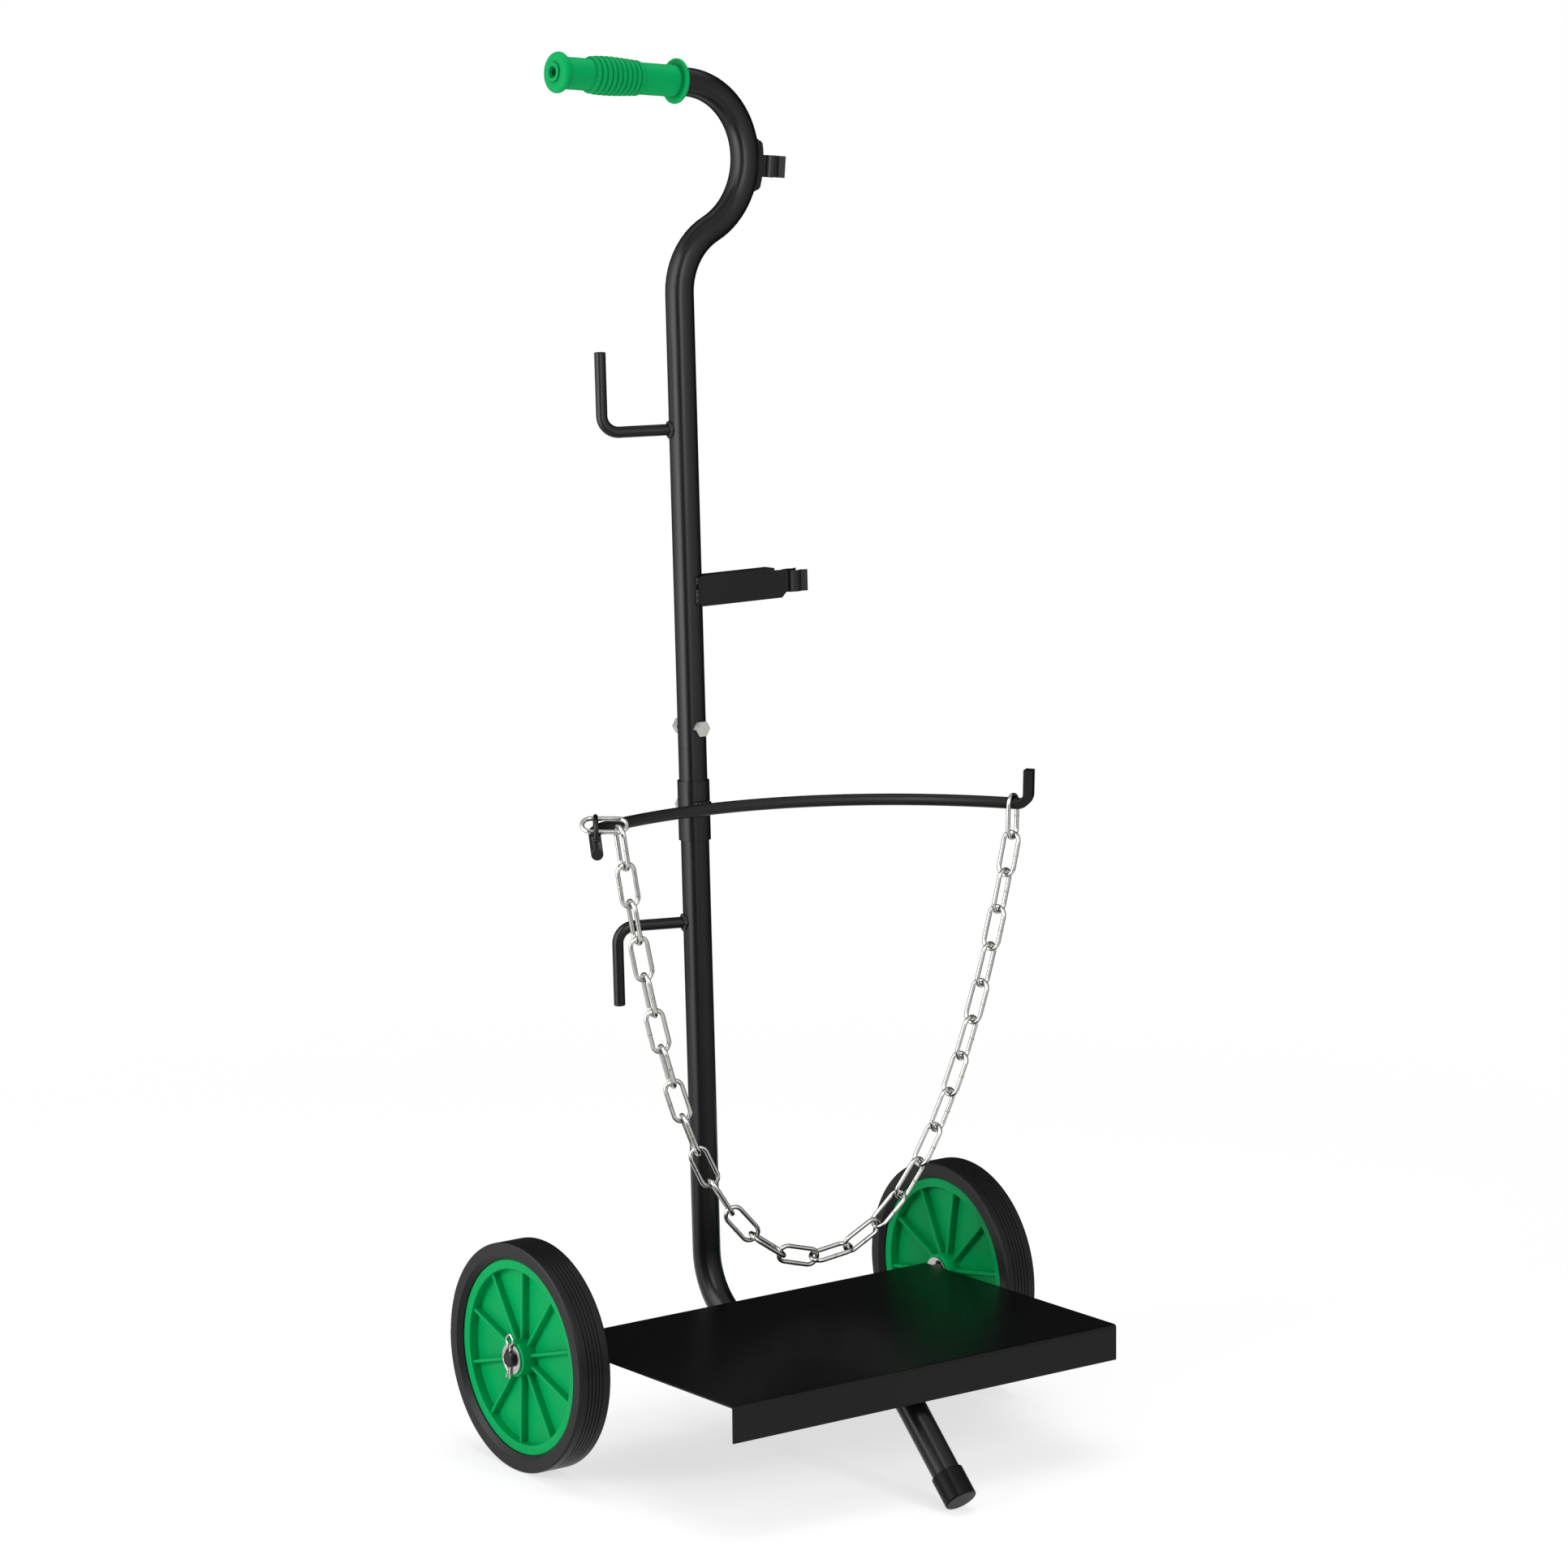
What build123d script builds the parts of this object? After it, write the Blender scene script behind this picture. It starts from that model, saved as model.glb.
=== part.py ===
from build123d import *
from math import atan, cos, pi, radians, sin, sqrt
import os

# Single-mast bottle cart. Millimetres and degrees, +Z up, front (the plate's lip) towards -Y,
# origin on the floor under the middle of the whole cart.

# Stance
axle_y = 85.8
plate_tilt = 1.95
mast_lean = 3.58

# Clearances
seat_gap = 0.05
running_gap = 0.05
slip_gap = 0.15
side_gap = 0.3

# Axle and wheels
axle_diameter = 14.0
axle_tail = 2.5
axle_chamfer = 1.0
wheel_spacing = 463.0
wheel_diameter = 200.0
tyre_width = 32.0
tyre_height = 15.0
tyre_shoulder = 2.0
tyre_bead_chamfer = 4.0
tread_grooves = 5
tread_groove_pitch = 3.6
tread_groove_width = 1.0
tread_groove_depth = 0.9
rim_width = 22.0
rim_ring = 8.5
rim_web = 4.0
rim_ribs = 10
rim_rib_thickness = 3.2
rim_rib_height = 7.0
rim_rib_round = 1.2
rim_edge = 0.8
left_wheel_turn = 0.5
right_wheel_turn = 7.5
hub_diameter = 32.0
hub_length = 34.0
washer_diameter = 27.0
washer_thickness = 1.6
stop_pin_diameter = 3.0
stop_pin_length = 22.0
clip_wire = 2.0
clip_leg = 17.0
clip_neck = 11.0
clip_eye_width = 12.0
clip_eye_height = 12.0
clip_bow = 11.0
clip_bend = 3.0
clip_bow_bend = 6.0

# Load plate
plate_wheel_gap = 9.5
plate_width = wheel_spacing - tyre_width - 2 * plate_wheel_gap
plate_depth = 270.0
plate_sheet = 1.5
plate_lip = 31.5
plate_bend = 2.0
flange_depth = 22.0
plate_bolt_spacing = 120.0
rail_diameter = 14.0
rail_length = 300.0
rail_setback = 76.0

# Tubes
tube_diameter = 25.0
tube_wall = 1.5
tube_bend = 62.0
tube_notch = 3.0
mast_setback = 70.54
mast_base_height = 300.0
mast_joint = 293.1
leg_angle = 42.6
foot_reach = 307.4
spigot_length = 130.0
spigot_wall = 2.0
joint_bolt_rise = 17.6

# Foot cap
cap_wall = 1.7
cap_end = 4.0
cap_length = 27.0
cap_edge = 1.5

# Handle
crook_start = 690.4
crook_radius = 60.0
crook_turn = 65.3
bulge_radius = 67.0
bulge_turn = 149.8
grip_setback = 9.5
grip_length = 129.0
grip_end_wall = 5.0
grip_end_flange = 35.4
grip_end_flange_width = 8.0
grip_end_flange_round = 3.9
grip_inner_flange = 39.3
grip_inner_flange_width = 3.5
grip_inner_flange_round = 1.5
grip_plain = 27.6
grip_swell = 33.8
grip_swell_start = 35.0
grip_swell_length = 52.0
grip_swell_skew = 0.625
grip_ribs = 10
grip_rib_height = 1.4
grip_end_ring = 17.0
grip_end_ring_wall = 3.4
grip_end_ring_height = 2.0
grip_end_ring_round = 1.2
grip_end_hole = 8.0

# Collar, retaining bar and hose hooks
collar_bottom = 211.3
collar_length = 52.7
collar_wall = 1.5
collar_screw_level = 241.0
bar_diameter = 10.5
bar_along = 241.0
bar_yaw = 3.73
bar_radius = 339.0
bar_right_turn = 48.5
bar_left_turn = 20.0
stub_bend = 40.0
stub_turn = 40.5
stub_length = 85.0
bar_hook_bend = 9.5
bar_hook_rise = 31.0
bar_hook_width = 12.5
bar_hook_thickness = 8.2
bar_hook_edge = 1.0
staple_wire = 4.0
staple_back = 20.5
staple_length = 30.0
staple_rise = 23.0
staple_bend = 8.0
hose_hook_diameter = 10.0
hose_hook_yaw = 20.0
hose_hook_reach = 73.0
hose_hook_leg = 70.0
hose_hook_bend = 15.0
rod_edge = 0.6
upper_hook_level = 573.0
lower_hook_level = 138.0

# Torch clips
bracket_bottom = 418.0
bracket_height = 27.0
bracket_sheet = 2.0
bracket_depth = 14.0
bracket_start = 2.0
bracket_flange_end = 84.0
bracket_end = 96.3
bracket_corner = 4.5
bracket_step = 2.4
clip_strip_width = 19.0
clip_sheet = 1.2
torch_diameter = 15.0
torch_offset = 12.0
clip_mouth = 11.0
clip_neck_width = 9.0
clip_lip = 5.7
clip_lip_flare = 2.5
saddle_length = 45.0
saddle_width = 14.0
saddle_thickness = 3.0
saddle_taper = 3.0
saddle_end = 1.0
saddle_flat = 0.75
saddle_angle = -6.0
rivet_diameter = 4.0
rivet_head_diameter = 6.0
rivet_head_height = 1.2

# Bolts
mast_bolt_diameter = 8.0
mast_bolt_flats = 13.0
mast_bolt_head = 5.3
mast_nut_height = 6.5
plate_bolt_diameter = 6.0
plate_bolt_flats = 10.0
plate_bolt_head = 4.0
bolt_play = 0.05
bolt_point = 2.0
bolt_edge = 0.8

# Chain
chain_wire = 4.0
chain_inner_length = 34.5
chain_inner_width = 11.4
chain_count = 27
chain_play = 0.8
chain_twist = 26.0
first_link_side = 8.0
first_link_turn = -36.9
first_link_tilt = 35.0
first_link_hang = 8.0
last_link_setback = 4.6
last_link_turn = 22.0

axle_radius = axle_diameter / 2
wheel_radius = wheel_diameter / 2
wheel_x = wheel_spacing / 2
tube_radius = tube_diameter / 2
tube_inner = tube_radius - tube_wall
bar_round = bar_diameter / 2
wire_round = chain_wire / 2
mast_bolt_hole = mast_bolt_diameter / 2 + bolt_play
plate_bolt_hole = plate_bolt_diameter / 2 + bolt_play
across = Vector(1, 0, 0)
up = Vector(0, 0, 1)
axle_centre = Vector(0, axle_y, wheel_radius)
from_base = (Align.CENTER, Align.CENTER, Align.MIN)

# Plate frame: at the axle, +X across, +Y to the rear along the plate, +Z square to the plate
plate_up = Vector(0, sin(radians(plate_tilt)), cos(radians(plate_tilt)))
plate_frame = Plane(origin=axle_centre, x_dir=across, z_dir=plate_up)
plate_side = Plane(origin=axle_centre, x_dir=plate_frame.y_dir, z_dir=across)

# Mast frame: +X across, +Y up along the mast, +Z to the front
mast_up = Vector(0, sin(radians(mast_lean)), cos(radians(mast_lean)))
mast_front = Vector(0, -cos(radians(mast_lean)), sin(radians(mast_lean)))
mast_base = Vector(0, axle_y + mast_setback, mast_base_height)
mast_frame = Plane(origin=mast_base, x_dir=across, z_dir=mast_front)


def plate_point(x, y, z):
    """Return the point at a place in the plate frame."""
    return plate_frame.from_local_coords(Vector(x, y, z))


def mast_point(x, y, z=0.0):
    """Return the point at a place in the mast frame."""
    return mast_frame.from_local_coords(Vector(x, y, z))


def mast_section(level):
    """Return the plane square to the mast at a level along it."""
    return Plane(origin=mast_point(0, level), x_dir=across, z_dir=mast_up)


def mast_bolt_plane(level, way):
    """Return the plane on the mast's axis, square to a bolt that points to the front (1) or rear (-1)."""
    return Plane(origin=mast_point(0, level), x_dir=across, z_dir=mast_front * way)


def axle_plane(x):
    """Return the plane square to the axle at a place along it."""
    return Plane(origin=axle_centre + across * x, x_dir=(0, 1, 0), z_dir=across)


def meet(first, first_heading, second, second_heading):
    """Return where two lines in a plane cross, each given by a point and a heading."""
    gap_x = second[0] - first[0]
    gap_y = second[1] - first[1]
    turn = first_heading[0] * second_heading[1] - first_heading[1] * second_heading[0]
    step = (gap_x * second_heading[1] - gap_y * second_heading[0]) / turn
    return (first[0] + step * first_heading[0], first[1] + step * first_heading[1])


def start_plane(wire):
    """Return the plane square to a wire at its start."""
    return Plane(origin=wire @ 0, z_dir=wire % 0)


# Axle, with cross holes for the wheel clips, the stop pins and the plate bolts
hub_half = hub_length / 2
washer_inner_x = wheel_x - hub_half - side_gap - washer_thickness / 2
washer_outer_x = wheel_x + hub_half + side_gap + washer_thickness / 2
stop_pin_x = washer_inner_x - washer_thickness / 2 - seat_gap - stop_pin_diameter / 2
clip_x = washer_outer_x + washer_thickness / 2 + side_gap + clip_wire / 2
axle_length = 2 * (clip_x + axle_tail)
plate_bolt_tip = axle_radius / 2
with BuildPart() as axle:
    with Locations(axle_plane(0)):
        Cylinder(axle_radius, axle_length)
    chamfer(axle.edges().filter_by(GeomType.CIRCLE), axle_chamfer)
    for side in (-1, 1):
        with Locations(Plane(origin=axle_centre + across * side * clip_x)):
            Cylinder(clip_wire / 2 + slip_gap, axle_diameter, mode=Mode.SUBTRACT)
        with Locations(Plane(origin=axle_centre + across * side * stop_pin_x, z_dir=(0, 1, 0))):
            Cylinder(stop_pin_diameter / 2 + bolt_play, axle_diameter, mode=Mode.SUBTRACT)
        bolt_end = plate_point(side * plate_bolt_spacing / 2, -plate_bolt_tip, 0)
        with Locations(Plane(origin=bolt_end, z_dir=plate_frame.y_dir)):
            Cylinder(plate_bolt_hole, axle_diameter, align=from_base, mode=Mode.SUBTRACT)

with BuildPart() as axle_stop_pins:
    for side in (-1, 1):
        with Locations(Plane(origin=axle_centre + across * side * stop_pin_x, z_dir=(0, 1, 0))):
            Cylinder(stop_pin_diameter / 2, stop_pin_length)

with BuildPart() as inner_washers:
    for side in (-1, 1):
        with Locations(axle_plane(side * washer_inner_x)):
            Cylinder(washer_diameter / 2, washer_thickness)
            Cylinder(axle_radius + slip_gap, washer_thickness, mode=Mode.SUBTRACT)

with BuildPart() as outer_washers:
    for side in (-1, 1):
        with Locations(axle_plane(side * washer_outer_x)):
            Cylinder(washer_diameter / 2, washer_thickness)
            Cylinder(axle_radius + slip_gap, washer_thickness, mode=Mode.SUBTRACT)

# Wheel clips: spring wire, one leg through the axle, an eye above it and a bow round its rear side
neck_gap = clip_wire + side_gap
eye_half = clip_eye_width / 2
eye_middle = clip_neck + clip_eye_height / 2
eye_top = clip_neck + clip_eye_height
with BuildPart() as wheel_clips:
    for side in (-1, 1):
        with BuildLine(axle_plane(side * clip_x)) as clip_path:
            FilletPolyline(
                (0, -clip_leg),
                (0, clip_neck),
                (-eye_half, eye_middle),
                (0, eye_top),
                (eye_half, eye_middle),
                (neck_gap, clip_neck),
                (clip_bow, 0),
                (neck_gap, -clip_neck),
                (2 * neck_gap, -clip_leg),
                radius=(
                    clip_bend,
                    clip_bend,
                    clip_bend,
                    clip_bend,
                    clip_bend,
                    clip_bow_bend,
                    clip_bend,
                ),
            )
        with BuildSketch(start_plane(clip_path.wire())):
            Circle(clip_wire / 2)
        sweep(path=clip_path.wire())

# Wheels: moulded rim with ribs on both sides of its web, and a solid tyre on the rim
rim_radius = wheel_radius - tyre_height
ring_inner = rim_radius - rim_ring
bore_radius = axle_radius + running_gap
hub_radius = hub_diameter / 2
rib_root = rim_ring / 4


def wheel_profile_plane(x):
    """Return the plane through the axle at a wheel: +X along the axle, +Y outwards."""
    return Plane(origin=axle_centre + across * x, x_dir=across, z_dir=(0, -1, 0))


def rib_plane(x, angle):
    """Return the plane square to a rim's rib at its root in the hub, for the rib's angle from the top."""
    rib_way = Vector(0, -sin(radians(angle)), cos(radians(angle)))
    root = axle_centre + across * x + rib_way * (hub_radius - rib_root)
    return Plane(origin=root, x_dir=across, z_dir=rib_way)


def make_rim(x, turn):
    """Return a wheel rim at a place along the axle, its ribs turned by an angle."""
    with BuildPart() as rim:
        with BuildSketch(wheel_profile_plane(x)):
            with Locations((0, ring_inner)):
                Rectangle(rim_width, rim_ring, align=(Align.CENTER, Align.MIN))
            with Locations((0, bore_radius)):
                Rectangle(rim_web, ring_inner + rim_ring / 2 - bore_radius, align=(Align.CENTER, Align.MIN))
                Rectangle(hub_length, hub_radius - bore_radius, align=(Align.CENTER, Align.MIN))
            fillet(vertices(), rim_edge)
        revolve(axis=Axis(axle_centre, across))
        with BuildSketch(*[rib_plane(x, turn + 360 * rib / rim_ribs) for rib in range(rim_ribs)]):
            RectangleRounded(rim_web + 2 * rim_rib_height, rim_rib_thickness, rim_rib_round)
        extrude(amount=ring_inner - hub_radius + 2 * rib_root)
    return rim.part


def make_tyre(x):
    """Return a solid tyre at a place along the axle."""
    bead_radius = rim_radius + seat_gap
    bead_half = tyre_width / 2 - tyre_bead_chamfer
    with BuildPart() as tyre:
        with BuildSketch(wheel_profile_plane(x)):
            with BuildLine():
                Polyline(
                    (-bead_half, bead_radius),
                    (bead_half, bead_radius),
                    (tyre_width / 2, bead_radius + tyre_bead_chamfer),
                    (tyre_width / 2, wheel_radius),
                    (-tyre_width / 2, wheel_radius),
                    (-tyre_width / 2, bead_radius + tyre_bead_chamfer),
                    close=True,
                )
            make_face()
            fillet(vertices().group_by(Axis.Y)[-1], tyre_shoulder)
            with Locations((0, wheel_radius)):
                with GridLocations(tread_groove_pitch, 1, tread_grooves, 1):
                    Rectangle(tread_groove_width, 2 * tread_groove_depth, mode=Mode.SUBTRACT)
        revolve(axis=Axis(axle_centre, across))
    return tyre.part


# Front rail: carries the front of the plate on the tube run, as the axle carries its rear
plate_under = axle_radius + seat_gap
plate_top = plate_under + plate_sheet
plate_rear = axle_radius + seat_gap + plate_sheet
plate_front = plate_rear - plate_depth
rail_centre = plate_point(0, plate_front + rail_setback, plate_under - seat_gap - rail_diameter / 2)
rail_plane = Plane(origin=rail_centre, x_dir=(0, 1, 0), z_dir=across)
with BuildPart() as front_rail:
    with Locations(rail_plane):
        Cylinder(rail_diameter / 2, rail_length)
    chamfer(front_rail.edges().filter_by(GeomType.CIRCLE), axle_chamfer)

# Lower tube: mast, bend under the plate, run with seats for axle and rail, front leg
run_point = plate_point(0, 0, tube_notch - axle_radius - tube_radius)
run_heading = (cos(radians(plate_tilt)), -sin(radians(plate_tilt)))
mast_heading = (sin(radians(mast_lean)), cos(radians(mast_lean)))
leg_heading = (cos(radians(leg_angle)), sin(radians(leg_angle)))
cap_radius = tube_radius + seat_gap + cap_wall
foot_height = (cap_radius - cap_edge) * leg_heading[0] + cap_edge * (1 - leg_heading[1])
foot_tip = Vector(0, axle_y - foot_reach, foot_height)
leg_axis = Vector(0, leg_heading[0], leg_heading[1])
tube_foot = foot_tip + leg_axis * (cap_end + seat_gap)
joint_point = mast_point(0, mast_joint)
rear_corner = meet((mast_base.Y, mast_base.Z), mast_heading, (run_point.Y, run_point.Z), run_heading)
front_corner = meet((foot_tip.Y, foot_tip.Z), leg_heading, (run_point.Y, run_point.Z), run_heading)
with BuildPart() as lower_tube:
    with BuildLine(Plane.YZ) as lower_path:
        FilletPolyline(
            (joint_point.Y, joint_point.Z),
            rear_corner,
            front_corner,
            (tube_foot.Y, tube_foot.Z),
            radius=tube_bend,
        )
    with BuildSketch(start_plane(lower_path.wire())):
        Circle(tube_radius)
        Circle(tube_inner, mode=Mode.SUBTRACT)
    sweep(path=lower_path.wire())
    with Locations(axle_plane(0)):
        Cylinder(axle_radius + seat_gap, 2 * tube_diameter, mode=Mode.SUBTRACT)
    with Locations(rail_plane):
        Cylinder(rail_diameter / 2 + seat_gap, 2 * tube_diameter, mode=Mode.SUBTRACT)
    with Locations(mast_bolt_plane(collar_screw_level, -1)):
        Cylinder(mast_bolt_hole, tube_diameter, align=from_base, mode=Mode.SUBTRACT)

# Foot cap: closed cup over the leg's end, its lower edge on the floor
foot_plane = Plane(origin=foot_tip, x_dir=across, z_dir=leg_axis)
with BuildPart() as foot_cap:
    with BuildSketch(foot_plane):
        Circle(cap_radius)
    extrude(amount=cap_length)
    fillet(foot_cap.edges().sort_by(Axis.Z)[0], cap_edge)
    with BuildSketch(foot_plane.offset(cap_end)):
        Circle(tube_radius + seat_gap)
    extrude(amount=cap_length, mode=Mode.SUBTRACT)

# Load plate: one folded sheet, lip down at the front, flange down behind the axle
sheet_half = plate_sheet / 2
flange_cut = plate_under - plate_bend
flange_plane = Plane(origin=plate_point(0, plate_rear, 0), x_dir=across * -1, z_dir=plate_frame.y_dir)
with BuildPart() as load_plate:
    with BuildSketch(plate_side):
        with BuildLine():
            FilletPolyline(
                (plate_rear - sheet_half, plate_top - flange_depth),
                (plate_rear - sheet_half, plate_top - sheet_half),
                (plate_front + sheet_half, plate_top - sheet_half),
                (plate_front + sheet_half, plate_top - plate_lip),
                radius=plate_bend,
            )
        trace(line_width=plate_sheet)
    extrude(amount=plate_width / 2, both=True)
    # Flange cut away round the tube and drilled for the plate bolts
    with BuildSketch(flange_plane):
        with Locations((0, flange_cut)):
            Rectangle(tube_diameter + 4 * side_gap, flange_depth, align=(Align.CENTER, Align.MAX))
        with GridLocations(plate_bolt_spacing, 1, 2, 1):
            Circle(plate_bolt_diameter / 2 + slip_gap)
    extrude(amount=-plate_sheet, mode=Mode.SUBTRACT)

# Plate bolts: through the flange into the axle
with BuildPart() as plate_bolts:
    with BuildSketch(flange_plane.offset(seat_gap)):
        with GridLocations(plate_bolt_spacing, 1, 2, 1):
            RegularPolygon(plate_bolt_flats / 2, 6, major_radius=False)
    extrude(amount=plate_bolt_head)
    chamfer(plate_bolts.faces().group_by(Axis(axle_centre, plate_frame.y_dir))[-1].edges(), bolt_edge)
    with BuildSketch(flange_plane.offset(seat_gap)):
        with GridLocations(plate_bolt_spacing, 1, 2, 1):
            Circle(plate_bolt_diameter / 2)
    extrude(amount=-(plate_rear + plate_bolt_tip))

# Upper tube: mast, bend to the right, long bend back to the left, handle run
upper_start = mast_joint + seat_gap
handle_run = grip_setback + grip_length - grip_end_wall - side_gap
joint_bolt_level = mast_joint + joint_bolt_rise
with BuildPart() as upper_tube:
    with BuildLine(mast_frame) as upper_path:
        straight = Line((0, upper_start), (0, crook_start))
        crook = JernArc(straight @ 1, straight % 1, crook_radius, -crook_turn)
        bulge = JernArc(crook @ 1, crook % 1, bulge_radius, bulge_turn)
        Line(bulge @ 1, bulge @ 1 + (bulge % 1) * handle_run)
    with BuildSketch(Plane(origin=mast_point(0, upper_start), x_dir=across, z_dir=mast_up)):
        Circle(tube_radius)
        Circle(tube_inner, mode=Mode.SUBTRACT)
    sweep(path=upper_path.wire())
    with Locations(mast_bolt_plane(joint_bolt_level, 1)):
        Cylinder(mast_bolt_hole, 2 * tube_diameter, mode=Mode.SUBTRACT)
handle_start = bulge @ 1
handle_way = bulge % 1
bulge_centre = mast_frame.to_local_coords(bulge.arc_center)

# Joint spigot: inner sleeve that lines up the two mast tubes
spigot_radius = tube_inner - seat_gap
with BuildPart() as joint_spigot:
    with Locations(mast_section(mast_joint)):
        Cylinder(spigot_radius, spigot_length)
        Cylinder(spigot_radius - spigot_wall, spigot_length, mode=Mode.SUBTRACT)
    with Locations(mast_bolt_plane(joint_bolt_level, 1)):
        Cylinder(mast_bolt_hole, 2 * tube_diameter, mode=Mode.SUBTRACT)
    with Locations(mast_bolt_plane(collar_screw_level, -1)):
        Cylinder(mast_bolt_hole, tube_diameter, align=from_base, mode=Mode.SUBTRACT)

# Joint bolt and nut: head at the front, nut at the rear
joint_bolt_frame = mast_bolt_plane(joint_bolt_level, 1)
nut_face = tube_radius + seat_gap
with BuildPart() as joint_bolt:
    with BuildSketch(joint_bolt_frame.offset(nut_face)):
        RegularPolygon(mast_bolt_flats / 2, 6, major_radius=False)
    extrude(amount=mast_bolt_head)
    chamfer(joint_bolt.faces().sort_by(Axis(mast_base, mast_front))[-1].edges(), bolt_edge)
    with BuildSketch(joint_bolt_frame.offset(nut_face)):
        Circle(mast_bolt_diameter / 2)
    extrude(amount=-(2 * nut_face + mast_nut_height + bolt_point))

with BuildPart() as joint_nut:
    with BuildSketch(joint_bolt_frame.offset(-nut_face)):
        RegularPolygon(mast_bolt_flats / 2, 6, major_radius=False)
        Circle(mast_bolt_hole, mode=Mode.SUBTRACT)
    extrude(amount=-mast_nut_height)

# Collar on the mast and the screw at its rear that pins it to tube and spigot
collar_inner = tube_radius + slip_gap
collar_outer = collar_inner + collar_wall
with BuildPart() as collar:
    with BuildSketch(mast_section(collar_bottom)):
        Circle(collar_outer)
        Circle(collar_inner, mode=Mode.SUBTRACT)
    extrude(amount=collar_length)
    with Locations(mast_bolt_plane(collar_screw_level, -1)):
        Cylinder(mast_bolt_hole, tube_diameter, align=from_base, mode=Mode.SUBTRACT)

collar_screw_face = mast_bolt_plane(collar_screw_level, -1).offset(collar_outer + seat_gap)
with BuildPart() as collar_screw:
    with BuildSketch(collar_screw_face):
        RegularPolygon(mast_bolt_flats / 2, 6, major_radius=False)
    extrude(amount=mast_bolt_head)
    chamfer(collar_screw.faces().sort_by(Axis(mast_base, mast_front))[0].edges(), bolt_edge)
    with BuildSketch(collar_screw_face):
        Circle(mast_bolt_diameter / 2)
    extrude(amount=-(collar_outer + seat_gap - spigot_radius + spigot_wall))

# Retaining bar: level arc in front of the collar, left end bent on as a stub, right end a flat hook
bar_yaw_way = Vector(cos(radians(bar_yaw)), -sin(radians(bar_yaw)), 0)
bar_frame = Plane(origin=mast_point(0, bar_along), x_dir=bar_yaw_way, z_dir=up)
bar_offset = (collar_outer + seat_gap + bar_round) / cos(radians(mast_lean))
with BuildPart() as arc_bar:
    with BuildLine(bar_frame) as bar_path:
        bar_right = JernArc((0, -bar_offset), (1, 0), bar_radius, -bar_right_turn)
        bar_left = JernArc((0, -bar_offset), (-1, 0), bar_radius, bar_left_turn)
        stub_corner = JernArc(bar_left @ 1, bar_left % 1, stub_bend, stub_turn)
        stub = Line(stub_corner @ 1, stub_corner @ 1 + (stub_corner % 1) * stub_length)
    with BuildSketch(Plane(origin=stub @ 1, z_dir=(stub % 1) * -1)):
        Circle(bar_round)
    sweep(path=bar_path.wire())
    chamfer(arc_bar.faces().filter_by(GeomType.PLANE).sort_by(Axis.X)[0].edges(), rod_edge)
    bar_end_way = bar_right % 1
    hook_frame = Plane(origin=bar_right @ 1, x_dir=bar_end_way, z_dir=bar_end_way.cross(up))
    with BuildLine(hook_frame) as hook_path:
        hook_turn = JernArc((0, 0), (1, 0), bar_hook_bend, 90)
        Line(hook_turn @ 1, hook_turn @ 1 + up * (bar_hook_rise - bar_hook_bend))
    with BuildSketch(Plane(origin=bar_right @ 1, x_dir=bar_end_way.cross(up), z_dir=bar_end_way)):
        RectangleRounded(bar_hook_width, bar_hook_thickness, bar_hook_edge)
    sweep(path=hook_path.wire())

# Chain staple: wire loop on top of the stub, coped to the bar
stub_start = stub @ 0
stub_way = stub % 0
staple_frame = Plane(origin=stub_start, x_dir=stub_way, z_dir=stub_way.cross(up))
staple_top = staple_rise - staple_wire / 2
with BuildPart() as chain_staple:
    with BuildLine(staple_frame) as staple_path:
        FilletPolyline(
            (staple_back, 0),
            (staple_back, staple_top),
            (staple_back + staple_length, staple_top),
            (staple_back + staple_length, 0),
            radius=staple_bend,
        )
    with BuildSketch(start_plane(staple_path.wire())):
        Circle(staple_wire / 2)
    sweep(path=staple_path.wire())
    with Locations(Plane(origin=stub_start, z_dir=stub_way)):
        Cylinder(bar_round + seat_gap, 2 * stub_length, mode=Mode.SUBTRACT)


def make_hose_hook(level, turn):
    """Return a hose hook on the mast at a level, its leg turned up (1) or down (-1)."""
    out = across * -cos(radians(hose_hook_yaw)) - mast_front * sin(radians(hose_hook_yaw))
    hook_plane = Plane(origin=mast_point(0, level), x_dir=out, z_dir=out.cross(mast_up))
    with BuildPart() as hook:
        with BuildLine(hook_plane) as rod_path:
            FilletPolyline(
                (0, 0),
                (hose_hook_reach, 0),
                (hose_hook_reach, turn * hose_hook_leg),
                radius=hose_hook_bend,
            )
        with BuildSketch(start_plane(rod_path.wire())):
            Circle(hose_hook_diameter / 2)
        sweep(path=rod_path.wire())
        with Locations(mast_section(level)):
            Cylinder(tube_radius + seat_gap, 2 * tube_diameter, mode=Mode.SUBTRACT)
        chamfer(hook.faces().filter_by(GeomType.PLANE).edges(), rod_edge)
    return hook.part


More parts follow.
